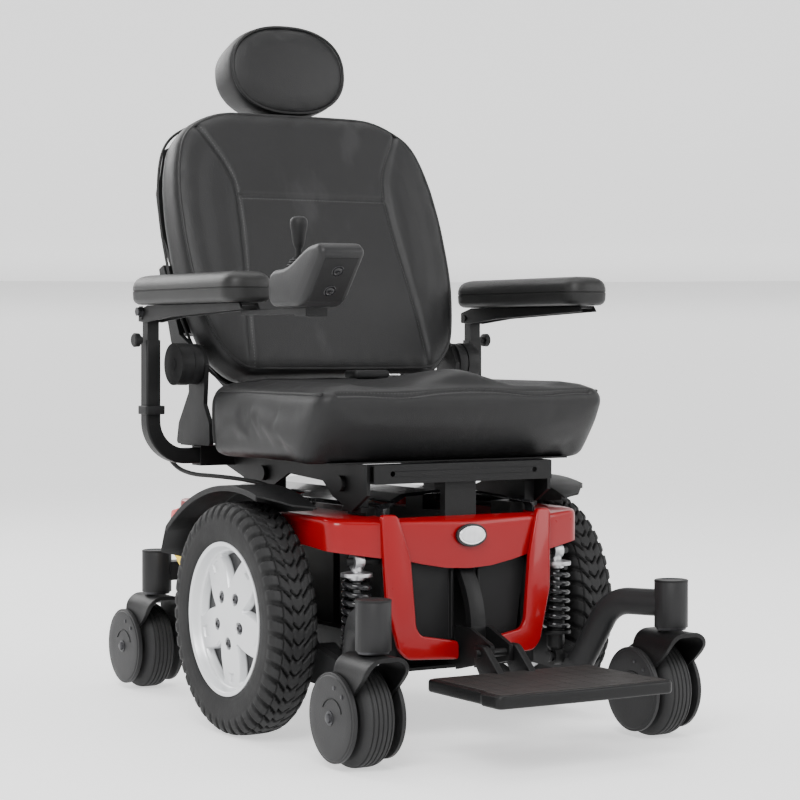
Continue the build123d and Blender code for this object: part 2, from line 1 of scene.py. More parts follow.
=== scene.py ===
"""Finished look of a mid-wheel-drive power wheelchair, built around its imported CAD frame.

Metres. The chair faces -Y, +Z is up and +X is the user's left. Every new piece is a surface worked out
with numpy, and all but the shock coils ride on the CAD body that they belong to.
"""

import math

import bmesh
import bpy
import numpy as np
from bpy.props import FloatProperty, FloatVectorProperty, IntProperty, PointerProperty
from bpy.types import Operator, Panel, PropertyGroup
from mathutils.bvhtree import BVHTree
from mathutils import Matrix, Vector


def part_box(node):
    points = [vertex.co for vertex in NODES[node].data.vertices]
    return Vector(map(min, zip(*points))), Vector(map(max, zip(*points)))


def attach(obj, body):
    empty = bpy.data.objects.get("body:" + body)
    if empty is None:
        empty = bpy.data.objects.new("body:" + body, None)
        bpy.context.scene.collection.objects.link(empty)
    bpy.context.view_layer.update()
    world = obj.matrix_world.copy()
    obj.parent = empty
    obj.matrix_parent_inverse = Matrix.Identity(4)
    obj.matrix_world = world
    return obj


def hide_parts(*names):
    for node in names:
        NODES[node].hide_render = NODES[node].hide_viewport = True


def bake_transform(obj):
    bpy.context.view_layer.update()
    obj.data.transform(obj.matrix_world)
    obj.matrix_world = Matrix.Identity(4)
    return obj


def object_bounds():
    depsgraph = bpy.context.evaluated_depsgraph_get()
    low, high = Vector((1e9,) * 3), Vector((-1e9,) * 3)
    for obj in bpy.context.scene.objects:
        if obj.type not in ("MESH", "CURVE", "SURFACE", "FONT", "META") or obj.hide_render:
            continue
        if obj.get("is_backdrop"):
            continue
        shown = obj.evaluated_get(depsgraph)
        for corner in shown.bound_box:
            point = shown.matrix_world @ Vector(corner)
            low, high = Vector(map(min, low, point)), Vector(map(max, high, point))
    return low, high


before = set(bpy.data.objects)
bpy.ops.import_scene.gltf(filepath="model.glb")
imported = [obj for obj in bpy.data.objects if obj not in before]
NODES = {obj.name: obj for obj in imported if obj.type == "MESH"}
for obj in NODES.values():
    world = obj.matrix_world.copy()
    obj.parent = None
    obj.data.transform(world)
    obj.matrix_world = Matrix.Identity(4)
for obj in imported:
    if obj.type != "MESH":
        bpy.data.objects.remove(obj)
CAD_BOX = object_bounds()

bl_info = {
    "name": "Power Wheelchair Finish",
    "version": (1, 0, 0),
    "blender": (4, 5, 0),
    "location": "View3D > Sidebar > Wheelchair",
    "description": "Builds the upholstery, bodywork, wheels and finishes of a power wheelchair",
    "category": "Object",
}

MM = 0.001
SIDES = {"right": -1, "left": 1}
ENDS = ("front", "rear")


# ---------------------------------------------------------------- settings
class WheelchairSizes(PropertyGroup):
    """Sizes that a user would change."""

    tread_depth: FloatProperty(name="Tread depth", description="Height of the drive tyre's blocks",
                               default=4.8 * MM, unit="LENGTH")
    tread_pitches: IntProperty(name="Tread pitches", description="Blocks round a drive tyre", default=46)
    piping: FloatProperty(name="Piping radius", description="Radius of the cord in the seams",
                          default=2.4 * MM, unit="LENGTH")
    stitch: FloatProperty(name="Stitch length", description="Length of one visible stitch",
                          default=3.4 * MM, unit="LENGTH")
    voxel: FloatProperty(name="Foam voxel", description="Mesh size of the padded pieces",
                         default=5.0 * MM, unit="LENGTH")
    swell: FloatProperty(name="Foam swell", description="Furthest that a cover bulges",
                         default=4.5 * MM, unit="LENGTH")


def colour_property(label, words, value):
    """A colour setting with its default."""
    return FloatVectorProperty(name=label, description=words, default=value, subtype="COLOR", min=0, max=1)


class WheelchairColours(PropertyGroup):
    """Colours that a user would change, in linear light."""

    vinyl: colour_property("Vinyl", "Seat cover", (0.0085, 0.0085, 0.0088))
    red: colour_property("Bodywork", "Painted shroud", (0.21, 0.0002, 0.0025))
    powder: colour_property("Powder coat", "Frame, forks and arms", (0.0045, 0.0045, 0.0047))
    stem: colour_property("Stem coat", "Caster stems", (0.014, 0.014, 0.0145))
    moulded: colour_property("Moulded plastic", "Covers, fenders and controller", (0.006, 0.006, 0.0063))
    silver: colour_property("Rim", "Wheel rims", (0.62, 0.63, 0.64))
    yellow: colour_property("Lever", "Brake release levers", (0.83, 0.55, 0.01))
    tyre: colour_property("Tyre", "Rubber", (0.0085, 0.0085, 0.0087))


def sizes():
    """The size settings."""
    return bpy.context.scene.wheelchair_sizes


def colour(name):
    """One colour setting as four numbers."""
    return (*getattr(bpy.context.scene.wheelchair_colours, name), 1.0)


# ---------------------------------------------------------------- shader arithmetic
class Link:
    """A socket in an expression; operators add Math nodes."""

    def __init__(self, graph, socket):
        self.graph = graph
        self.socket = socket

    def math(self, operation, *others):
        """A Math node of that operation on this value and the others."""
        return self.graph.node("ShaderNodeMath", {"operation": operation}, dict(enumerate((self, *others))))

    def __add__(self, other):
        return self.math("ADD", other)

    def __mul__(self, other):
        return self.math("MULTIPLY", other)

    def __sub__(self, other):
        return self.math("SUBTRACT", other)

    def __rsub__(self, other):
        return self.graph.node("ShaderNodeMath", {"operation": "SUBTRACT"}, {0: other, 1: self})

    __radd__ = __add__
    __rmul__ = __mul__


class Graph:
    """A material and the nodes in it."""

    def __init__(self, name):
        self.material = bpy.data.materials.new(name)
        self.material.use_nodes = True
        self.tree = self.material.node_tree
        self.shader = self.tree.nodes["Principled BSDF"]
        self.place = self.node("ShaderNodeTexCoord", {}, {}, "Object")

    def node(self, kind, settings, inputs, output=0):
        """A node with its settings, its sockets' values or links, and the output that is used."""
        made = self.tree.nodes.new(kind)
        for key, value in settings.items():
            setattr(made, key, value)
        for key, value in inputs.items():
            self.join(made.inputs[key], value)
        return Link(self, made.outputs[output])

    def join(self, socket, value):
        """Set a socket to a number, or link it."""
        if isinstance(value, Link):
            self.tree.links.new(value.socket, socket)
        else:
            socket.default_value = value

    def noise(self, scale, detail=2.0, stretch=(1, 1, 1), turn=(0, 0, 0)):
        """Noise on Object coordinates, stretched and turned by a Mapping node."""
        mapping = {"Vector": self.place, "Scale": stretch, "Rotation": turn}
        mapped = self.node("ShaderNodeMapping", {}, mapping)
        return self.node("ShaderNodeTexNoise", {}, {"Vector": mapped, "Scale": scale, "Detail": detail})

    def grid_lines(self, pitch):
        """1 on the lines of a square grid with that pitch in millimetres, 0 between."""
        parts = [self.node("ShaderNodeSeparateXYZ", {}, {"Vector": self.place}, axis) for axis in (0, 1)]
        waves = [(part * (1000.0 / pitch)).math("FRACT") for part in parts]
        near = [wave.math("SUBTRACT", 0.5).math("ABSOLUTE") for wave in waves]
        return self.steps(near[0].math("MAXIMUM", near[1]), 0.475, 0.49)

    def cells(self, scale):
        """Distance to the nearest of scattered points."""
        return self.node("ShaderNodeTexVoronoi", {}, {"Vector": self.place, "Scale": scale})

    def steps(self, value, low, high):
        """0 below low, 1 above high, smooth between."""
        return self.node("ShaderNodeMapRange", {"interpolation_type": "SMOOTHSTEP"},
                         {"Value": value, "From Min": low, "From Max": high})

    def mix(self, share, first, second):
        """Colour between two."""
        return self.node("ShaderNodeMix", {"data_type": "RGBA"}, {0: share, 6: first, 7: second}, 2)

    def attribute(self, name):
        """A number stored on the mesh."""
        return self.node("ShaderNodeAttribute", {"attribute_name": name}, {}, "Fac")

    def finish(self, base, rough, bump=None, depth=0.0003, **constants):
        """Feed the shader: varying sockets are linked, and constants are set."""
        self.join(self.shader.inputs["Base Color"], base)
        self.join(self.shader.inputs["Roughness"], rough)
        if bump is not None:
            normal = self.node("ShaderNodeBump", {}, {"Height": bump, "Distance": depth, "Strength": 1.0},
                               "Normal")
            self.join(self.shader.inputs["Normal"], normal)
        self.shader.inputs["Specular IOR Level"].default_value = 0.2
        for key, value in constants.items():
            self.shader.inputs[key.replace("_", " ")].default_value = value
        return self.material


def shade(value, factor):
    """A colour made lighter or darker."""
    return (*(part * factor for part in value[:3]), 1.0)


def vinyl(name):
    """Soft black vinyl: fine pebbled grain, broad creases and faint lighter, glossier streaks where panel is
    1.
    """
    graph = Graph(name)
    dark = colour("vinyl")
    cloud = graph.noise(7.0, 4.0)
    streaks = graph.noise(16.0, 5.0, (1.0, 1.0, 0.28), (0.5, 0.9, 0.2))
    # lighter, glossier diagonal streaks, only on the middle panel of the back
    pale_streaks = graph.steps(streaks, 0.56, 0.74) * graph.attribute("panel")
    base = graph.mix(cloud, shade(dark, 0.8), shade(dark, 1.3))
    base = graph.mix(pale_streaks * 0.5, base, shade(dark, 3.0))
    rough = 0.40 + 0.10 * graph.noise(22.0, 3.0) - 0.06 * pale_streaks
    grain = graph.cells(850.0) + 0.6 * graph.noise(420.0, 2.0) + 1.4 * graph.noise(34.0, 4.0)
    return graph.finish(base, rough, grain, 0.00022, Specular_IOR_Level=0.24)


def platform_plastic(name):
    """Textured platform with scuffs."""
    graph = Graph(name)
    scuff = graph.steps(graph.noise(70.0, 6.0, (1, 0.25, 1)), 0.58, 0.72)
    base = graph.mix(graph.noise(10.0, 5.0), (0.014, 0.0125, 0.012, 1), (0.026, 0.023, 0.022, 1))
    base = graph.mix(scuff * 0.3, base, (0.06, 0.055, 0.052, 1))
    lines = graph.grid_lines(30.0)
    base = graph.mix(lines * 0.8, base, (0.004, 0.004, 0.004, 1))
    return graph.finish(base, 0.50 + 0.16 * graph.noise(35.0, 4.0), graph.cells(700.0) - 3.0 * lines, 0.0004)


def rubber(name):
    """Tyre rubber: scuffed where tread is 1, and darkened with painted shade where gap is 1, down between the
    blocks.
    """
    graph = Graph(name)
    dark = colour("tyre")
    dust = graph.noise(14.0, 6.0)
    factor = 1.9 if name == "caster rubber" else 1.0
    base = graph.mix(dust, shade(dark, 0.8 * factor), shade(dark, 1.7 * factor))
    base = graph.mix(graph.attribute("tread"), base, shade(dark, 2.6 * factor))
    # painted shade: the gaps between the tread blocks are darkened
    base = graph.mix(graph.attribute("gap") * 0.8, base, shade(dark, 0.15 * factor))
    return graph.finish(base, 0.55 + 0.2 * graph.noise(50.0, 4.0), graph.noise(300.0, 4.0), 0.0003)


def silver_paint(name):
    """Metallic silver paint on the cast rim, with painted shade deep in the pockets."""
    graph = Graph(name)
    silver = colour("silver")
    flake = graph.noise(900.0, 1.0)
    base = graph.mix(flake, shade(silver, 0.92), shade(silver, 1.06))
    # painted shade: near black deep in the pockets, standing in for the dark openings through the wheel
    base = graph.mix(graph.attribute("deep"), base, (0.012, 0.012, 0.013, 1))
    return graph.finish(base, 0.34 + 0.08 * graph.noise(40.0, 3.0), flake, 0.00004, Metallic=0.45,
                        Coat_Weight=0.3, Coat_Roughness=0.15)


def reflector_red(name):
    """Red reflector lens with prisms."""
    graph = Graph(name)
    prisms = graph.cells(330.0)
    base = graph.mix(prisms, (0.75, 0.03, 0.03, 1), (0.45, 0.005, 0.008, 1))
    return graph.finish(base, 0.12 + 0.1 * prisms, prisms, 0.0005, Coat_Weight=1.0)


def webbing(name):
    """Woven belt: fine ribs across the strap."""
    graph = Graph(name)
    ribs = graph.node("ShaderNodeTexWave", {"bands_direction": "X"},
                      {"Vector": graph.place, "Scale": 190.0, "Distortion": 0.6, "Detail": 2.0})
    base = graph.mix(ribs, (0.006, 0.006, 0.006, 1), (0.022, 0.022, 0.023, 1))
    return graph.finish(base, 0.75 + 0.1 * ribs, ribs, 0.0003)


def mottled(name, tint, patch, rough, cells=None, grain=None, depth=0.0003, **constants):
    """Two shades in noise patches, with uneven gloss. The tint is a colour setting and two factors, or two
    colours; rough is the least value, the span and the noise; cells and grain add up to the bump."""
    graph = Graph(name)
    if isinstance(tint[0], str):
        pair = [shade(colour(tint[0]), factor) for factor in tint[1:]]
    else:
        pair = [(*part, 1.0) for part in tint]
    least, span, *spots = rough
    bumps = [graph.cells(cells)] if cells else []
    if grain:
        bumps.append(graph.noise(*grain))
    bump = sum(bumps[1:], bumps[0]) if bumps else None
    base = graph.mix(graph.noise(*patch), *pair)
    return graph.finish(base, least + span * graph.noise(*spots), bump, depth, **constants)


def grey(level):
    """A neutral colour."""
    return (level, level, level)


BRUSHED = (240, 3, (1, 1, 0.1))

MOTTLED = {
    "bodywork": {"tint": ("red", 0.9, 1.08), "patch": (4, 3), "rough": (0.26, 0.05, 60, 2), "grain": (5, 1),
                 "depth": 0.0006, "Coat_Weight": 0.22, "Coat_Roughness": 0.06},
    "powder coat": {"tint": ("powder", 0.85, 1.25), "patch": (6, 4), "rough": (0.38, 0.14, 30, 3),
                    "grain": (520, 2), "depth": 0.00025},
    "stem coat": {"tint": ("stem", 0.85, 1.25), "patch": (6, 4), "rough": (0.38, 0.14, 30, 3),
                  "grain": (520, 2), "depth": 0.00025},
    "moulded": {"tint": ("moulded", 0.85, 1.3), "patch": (9, 4), "rough": (0.46, 0.12, 40, 3), "cells": 1400,
                "depth": 0.00012},
    "gloss black": {"tint": ((0.006, 0.006, 0.007), (0.012, 0.012, 0.013)), "patch": (8, 3),
                    "rough": (0.10, 0.08, 25, 4), "Coat_Weight": 0.3, "Coat_Roughness": 0.04},
    "foam skin": {"tint": (grey(0.009), (0.015, 0.015, 0.0148)), "patch": (12, 4),
                  "rough": (0.36, 0.12, 18, 3), "cells": 1100, "grain": (60, 3), "depth": 0.00014},
    "badge face": {"tint": ((0.55, 0.56, 0.57), (0.74, 0.75, 0.76)), "patch": BRUSHED,
                   "rough": (0.25, 0.15, *BRUSHED), "Metallic": 0.6},
    "chrome": {"tint": ((0.62, 0.63, 0.64), (0.86, 0.87, 0.88)), "patch": (80, 5),
               "rough": (0.10, 0.14, 80, 5), "Metallic": 1.0},
    "steel": {"tint": ((0.32, 0.32, 0.33), (0.55, 0.55, 0.56)), "patch": (120, 3),
              "rough": (0.3, 0.15, 200, 3), "Metallic": 1.0},
    "dark steel": {"tint": ((0.03, 0.03, 0.032), (0.08, 0.08, 0.085)), "patch": (120, 3),
                   "rough": (0.32, 0.2, 150, 3), "Metallic": 0.8},
    "yellow": {"tint": ("yellow", 0.9, 1.08), "patch": (20, 3), "rough": (0.34, 0.1, 50, 2), "cells": 900,
               "depth": 0.0001},
    "cable": {"tint": (grey(0.010), grey(0.022)), "patch": (40, 3), "rough": (0.42, 0.12, 60, 3),
              "grain": (250, 2), "depth": 0.0001},
    "thread": {"tint": (grey(0.05), (0.13, 0.13, 0.128)), "patch": (300, 2), "rough": (0.55, 0.1, 90, 2)},
    "floor": {"tint": (grey(0.58), grey(0.62)), "patch": (1.2, 2), "rough": (0.6, 0.05, 3, 2),
              "Emission_Color": (1, 1, 1, 1), "Emission_Strength": 0.85},
}
MOTTLED["satin"] = MOTTLED["powder coat"]

PATTERNED = {
    "vinyl": vinyl, "platform": platform_plastic, "drive rubber": rubber, "caster rubber": rubber,
    "silver paint": silver_paint, "reflector": reflector_red, "webbing": webbing,
}
MATERIALS = {}


def material(name):
    """A finish by name, made once."""
    if name not in MATERIALS:
        patterned = PATTERNED.get(name)
        MATERIALS[name] = patterned(name) if patterned else mottled(name, **MOTTLED[name])
    return MATERIALS[name]


# ---------------------------------------------------------------- surfaces
AXLE_SHIFT = np.array([0.0, -34.0, 0.0])


def metres(points):
    """Millimetres with Y measured from the drive axle, turned into the frame's metres."""
    return (np.asarray(points, float).reshape(-1, 3) + AXLE_SHIFT) * MM


def size(name):
    """A length setting in millimetres."""
    return getattr(sizes(), name) / MM


def smooth(value, low, high):
    """Smooth step from 0 at low to 1 at high."""
    share = np.clip((value - low) / (high - low), 0, 1)
    return share * share * (3 - 2 * share)


def bell(value, centre, width):
    """Bell curve of height 1."""
    return np.exp(-((value - centre) / width) ** 2)


def box_of(node):
    """Lowest and highest corner of a CAD node, in millimetres from the drive axle."""
    return [np.array(corner) / MM - AXLE_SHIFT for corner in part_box(node)]


def centre_of(node):
    """Middle of a CAD node's box."""
    return sum(box_of(node)) / 2


def mesh_piece(name, points, faces):
    """Object from points and faces, merged, closed at its poles and with its faces turned outwards."""
    mesh = bpy.data.meshes.new(name)
    mesh.from_pydata(metres(points).tolist(), [], faces)
    work = bmesh.new()
    work.from_mesh(mesh)
    bmesh.ops.remove_doubles(work, verts=work.verts, dist=1e-6)
    bmesh.ops.dissolve_degenerate(work, edges=work.edges, dist=1e-7)
    bmesh.ops.recalc_face_normals(work, faces=work.faces)
    work.to_mesh(mesh)
    work.free()
    piece = bpy.data.objects.new(name, mesh)
    bpy.context.scene.collection.objects.link(piece)
    return piece


def grid_faces(rows, columns, close_rows=False, close_columns=False, caps=False, start=0):
    """Quads of a grid of points, with its ends joined or capped where asked."""
    index = start + np.arange(rows * columns).reshape(rows, columns)
    capped = [index[0].tolist(), index[-1].tolist()] if caps else []
    if close_rows:
        index = np.vstack([index, index[:1]])
    if close_columns:
        index = np.hstack([index, index[:, :1]])
    quads = np.stack([index[:-1, :-1], index[1:, :-1], index[1:, 1:], index[:-1, 1:]], -1)
    return quads.reshape(-1, 4).tolist() + capped


def grid_piece(name, grid, **closing):
    """Object from one grid of points."""
    return mesh_piece(name, grid, grid_faces(*grid.shape[:2], **closing))


def cover_piece(piece, finish, angle=35.0):
    """Material, and smooth shading with sharp edges past the angle."""
    piece.data.materials.append(material(finish))
    piece.data.shade_smooth()
    piece.data.set_sharp_from_angle(angle=math.radians(angle))


def finish_piece(piece, finish, body, replaced=(), angle=35.0):
    """Material, shading and body, with the CAD parts that the piece replaces hidden."""
    cover_piece(piece, finish, angle)
    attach(piece, body)
    if replaced:
        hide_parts(*replaced)
    return piece


def superellipse(half_x, half_y, power, count):
    """Closed outline |x/a|^n + |y/b|^n = 1, evenly spread in angle."""
    angle = np.arange(count) / count * 2 * math.pi
    cosine, sine = np.cos(angle), np.sin(angle)
    share = (np.abs(cosine) ** power + np.abs(sine) ** power) ** (-1 / power)
    return np.column_stack([half_x * share * cosine, half_y * share * sine])


def polygon_outline(corners, radius, steps=6):
    """Closed outline through the corners, each rounded by a quadratic curve that starts radius away."""
    corners = np.array(corners, float)
    before, after = np.roll(corners, 1, 0) - corners, np.roll(corners, -1, 0) - corners
    reach = np.minimum(np.linalg.norm(before, axis=1), np.linalg.norm(after, axis=1)) * 0.48
    reach = np.minimum(reach, radius)[:, None]
    start = corners + before / np.linalg.norm(before, axis=1)[:, None] * reach
    end = corners + after / np.linalg.norm(after, axis=1)[:, None] * reach
    t = np.linspace(0, 1, steps)[None, :, None]
    curve = start[:, None] * (1 - t) ** 2 + 2 * corners[:, None] * t * (1 - t) + end[:, None] * t ** 2
    return curve.reshape(-1, 2)


def inward(outline):
    """Unit normals of a closed outline, turned towards its middle."""
    along = np.roll(outline, -1, 0) - np.roll(outline, 1, 0)
    normal = np.column_stack([-along[:, 1], along[:, 0]])
    normal /= np.maximum(np.linalg.norm(normal, axis=1), 1e-9)[:, None]
    x, y = outline.T
    turning = np.sum(x * np.roll(y, -1) - np.roll(x, -1) * y)
    return normal if turning > 0 else -normal


def rounded_levels(low, high, radius, steps=4):
    """Levels (height, inset) of a slab whose two rims are quarter circles."""
    turn = np.linspace(0, math.pi / 2, steps)
    bottom = [(low + radius * (1 - math.sin(a)), radius * (1 - math.cos(a))) for a in turn]
    top = [(high - radius * (1 - math.sin(a)), radius * (1 - math.cos(a))) for a in turn]
    return bottom[::-1] + top


def carry(outline, levels, order="xyz", mirror=1):
    """Grid of an outline carried through (height, inset) levels; order names the outline's two axes and
    then the height's."""
    normal = inward(outline)
    rows = [np.column_stack([outline + normal * inset, np.full(len(outline), height)])
            for height, inset in levels]
    grid = np.stack(rows)
    placed = np.empty_like(grid)
    for column, axis in enumerate(order):
        placed[..., "xyz".index(axis)] = grid[..., column]
    placed[..., 0] *= mirror
    return placed


def slab(name, outline, low, high, radius, order="xyz", mirror=1):
    """Plate with rounded rims."""
    grid = carry(outline, rounded_levels(low, high, radius), order, mirror)
    return grid_piece(name, grid, close_columns=True, caps=True)


def sweep(path, radius, sides=8, up=(0, 0, 1), closed=False):
    """Tube round a path: at each point a circle across the path's direction."""
    path = np.asarray(path, float)
    along = np.gradient(path, axis=0)
    if closed:
        along = np.roll(path, -1, 0) - np.roll(path, 1, 0)
    along /= np.linalg.norm(along, axis=1)[:, None]
    across = np.cross(along, np.broadcast_to(up, along.shape))
    across /= np.linalg.norm(across, axis=1)[:, None]
    other = np.cross(across, along)
    angle = np.arange(sides) / sides * 2 * math.pi
    circle = across[:, None] * np.cos(angle)[None, :, None] + other[:, None] * np.sin(angle)[None, :, None]
    radius = np.broadcast_to(radius, (len(path),))[:, None, None]
    return path[:, None] + circle * radius


def turned(profile, centre, count=96, axis="x"):
    """Surface of revolution: profile points (along the axis, radius) turned about the centre."""
    profile = np.asarray(profile, float)
    angle = np.arange(count) / count * 2 * math.pi
    along = np.broadcast_to(profile[:, 0, None], (len(profile), count))
    first = profile[:, 1, None] * np.cos(angle)
    second = profile[:, 1, None] * np.sin(angle)
    columns = {"x": (along, first, second), "y": (first, along, second), "z": (first, second, along)}[axis]
    return np.stack(columns, -1) + np.asarray(centre)


def mirrored(profile, sign):
    """Profile turned end for end along its axis where the sign is -1."""
    return [(along * sign, radius) for along, radius in profile]


def turned_piece(name, profile, centre, count, axis="x", sign=1):
    """Object from a turned profile."""
    return grid_piece(name, turned(mirrored(profile, sign), centre, count, axis), close_columns=True)


def join_grids(name, grids):
    """One object from several (grid, closing) pairs."""
    points, faces, start = [], [], 0
    for grid, closing in grids:
        points.append(grid.reshape(-1, 3))
        faces += grid_faces(*grid.shape[:2], start=start, **closing)
        start += grid.shape[0] * grid.shape[1]
    return mesh_piece(name, np.vstack(points), faces)


def resample(path, spacing):
    """Points at even steps along a path."""
    path = np.asarray(path, float)
    run = np.concatenate([[0], np.cumsum(np.linalg.norm(np.diff(path, axis=0), axis=1))])
    even = np.linspace(0, run[-1], max(2, int(run[-1] / spacing)))
    return np.column_stack([np.interp(even, run, path[:, axis]) for axis in range(3)])


def set_number(piece, name, values):
    """Store a number at each vertex."""
    store = piece.data.attributes.get(name) or piece.data.attributes.new(name, "FLOAT", "POINT")
    store.data.foreach_set("value", np.asarray(values, np.float32))


def coordinates(piece):
    """Vertices of a piece, in millimetres from the drive axle."""
    values = np.empty(len(piece.data.vertices) * 3)
    piece.data.vertices.foreach_get("co", values)
    return values.reshape(-1, 3) / MM - AXLE_SHIFT


def move_to(piece, values):
    """Write the vertices back."""
    piece.data.vertices.foreach_set("co", metres(values).ravel())
    piece.data.update()


# ---------------------------------------------------------------- padding
SWELL_PRESSURE, COVER_STIFFNESS, SWELL_FRAMES = 4.0, 12.0, 20


def apply_modifiers(piece):
    """Bake the modifiers into the mesh."""
    evaluated = piece.evaluated_get(bpy.context.evaluated_depsgraph_get())
    made = bpy.data.meshes.new_from_object(evaluated)
    piece.modifiers.clear()
    piece.data = made


def inflate(piece, cap):
    """Remesh the piece, let a pressurised cover swell, and hold each point within cap of its start."""
    remesh = piece.modifiers.new("Foam", "REMESH")
    remesh.mode = "VOXEL"
    remesh.voxel_size = sizes().voxel
    apply_modifiers(piece)
    start = coordinates(piece)
    cloth = piece.modifiers.new("Cover", "CLOTH")
    cloth.settings.use_pressure = True
    cloth.settings.uniform_pressure_force = SWELL_PRESSURE
    cloth.settings.tension_stiffness = COVER_STIFFNESS
    cloth.settings.compression_stiffness = COVER_STIFFNESS
    cloth.settings.effector_weights.gravity = 0.0
    scene = bpy.context.scene
    for step in range(1, SWELL_FRAMES + 1):
        scene.frame_set(step)
    apply_modifiers(piece)
    scene.frame_set(1)
    shift = coordinates(piece) - start
    length = np.linalg.norm(shift, axis=1)[:, None]
    move_to(piece, start + shift * np.minimum(1, cap / np.maximum(length, 1e-9)))
    calm = piece.modifiers.new("Calm", "SMOOTH")
    calm.factor, calm.iterations = 0.5, 8
    apply_modifiers(piece)


def press(piece, path, depth, width, direction):
    """Push the surface in along a seam: depth times a bell of the distance to the path."""
    points = coordinates(piece)
    distance = np.full(len(points), 1000.0)
    for part in np.array_split(np.asarray(path), 12):
        gap = np.sqrt(((points[:, None] - part[None]) ** 2).sum(2).min(1))
        distance = np.minimum(distance, gap)
    push = depth * np.exp(-(distance / width) ** 2)
    move_to(piece, points + np.asarray(direction) * push[:, None])


def on_surface(piece, path, direction, lift=0.0):
    """Path dropped onto the piece along a direction, then lifted back off it."""
    tree = BVHTree.FromPolygons(coordinates(piece).tolist(), [tuple(f.vertices) for f in piece.data.polygons])
    direction = np.asarray(direction, float)
    dropped = []
    for point in path:
        hit = tree.ray_cast(point - direction * 120, direction, 300)[0]
        dropped.append(np.array(hit) - direction * lift if hit else None)
    return np.array([spot for spot in dropped if spot is not None])


def ease(path, rounds=3):
    """Even out a path by averaging each point with its neighbours."""
    for _ in range(rounds):
        path[1:-1] = (path[:-2] + 2 * path[1:-1] + path[2:]) / 4
    return path


def stitches(name, path, lift, body, up):
    """Row of thread stitches: one small lozenge for each step along the path."""
    length = size("stitch")
    spots = resample(path, length * 1.6)
    along = np.gradient(spots, axis=0)
    along /= np.linalg.norm(along, axis=1)[:, None]
    across = np.cross(along, up)
    across /= np.linalg.norm(across, axis=1)[:, None]
    above = np.cross(across, along)
    above *= np.sign(above @ np.asarray(up))[:, None]
    half, wide, tall = length / 2, 0.45, 0.45
    corners = [(-half, 0, 0), (0, wide, 0), (half, 0, 0), (0, -wide, 0), (0, 0, tall), (0, 0, -tall)]
    x, y, z = np.array(corners).T[:, None, :, None]
    points = spots[:, None] + along[:, None] * x + across[:, None] * y + above[:, None] * (z + lift)
    shape = np.array([(0, 1, 4), (1, 2, 4), (2, 3, 4), (3, 0, 4), (1, 0, 5), (2, 1, 5), (3, 2, 5), (0, 3, 5)])
    faces = (shape[None] + 6 * np.arange(len(spots))[:, None, None]).reshape(-1, 3).tolist()
    return finish_piece(mesh_piece(name, points, faces), "thread", body)


PAD_RINGS = 10


def pad_grid(outline, levels, dome_low, dome_high):
    """Closed pad: rings shrink from the first level to a pole below, and from the last to one above;
    the two dome functions give the height at (x, y)."""
    sides = carry(outline, levels)
    middle = sides[0, :, :2].mean(0)
    share = np.linspace(0, 1, PAD_RINGS + 1)[:-1]
    bottom = middle + (sides[0, None, :, :2] - middle) * share[:, None, None]
    top = middle + (sides[-1, None, :, :2] - middle) * share[::-1, None, None]
    bottom = np.concatenate([bottom, dome_low(bottom[..., 0], bottom[..., 1])[..., None]], -1)
    top = np.concatenate([top, dome_high(top[..., 0], top[..., 1])[..., None]], -1)
    return np.concatenate([bottom, sides, top])


def soften(piece):
    """One level of subdivision, baked."""
    modifier = piece.modifiers.new("Smooth", "SUBSURF")
    modifier.levels = modifier.render_levels = 1
    apply_modifiers(piece)


def cushion(name, grid, cap):
    """Padded cover over the closed grid: swollen, then smoothed."""
    piece = grid_piece(name, grid, close_columns=True, caps=True)
    inflate(piece, cap)
    soften(piece)
    return piece


def cord_on(name, path, finish, body, closed=False, up=(0, 1, 0)):
    """Piping along a path; up is a direction that the path never takes."""
    grid = sweep(path, size("piping"), 8, up, closed)
    closing = {"close_rows": True} if closed else {"caps": True}
    piece = grid_piece(name, grid, close_columns=True, **closing)
    return finish_piece(piece, finish, body)


# ---------------------------------------------------------------- seat
SEAT_HALF, SEAT_FRONT, SEAT_REAR = 250.0, -235.0, 163.0


def seat_top(x, y):
    """Height of the seat: 541 + a front hump - thigh troughs - a basin - a rounded nose."""
    forward = smooth(-y, -60, 190)
    hump = 15 * bell(x, 0, 58) * forward
    troughs = 15 * bell(np.abs(x), 130, 56) * smooth(-y, -120, 120)
    basin = 10 * bell(x, 0, 150) * bell(y, 60, 95)
    nose = 8 * smooth(-y, 170, 240)
    return 541 + hump - troughs - basin - nose


def seat_front(z):
    """How far back of the foremost point the front face lies at height z: the bow is boat-shaped."""
    return 58 * smooth(515 - z, -20, 110) ** 1.1


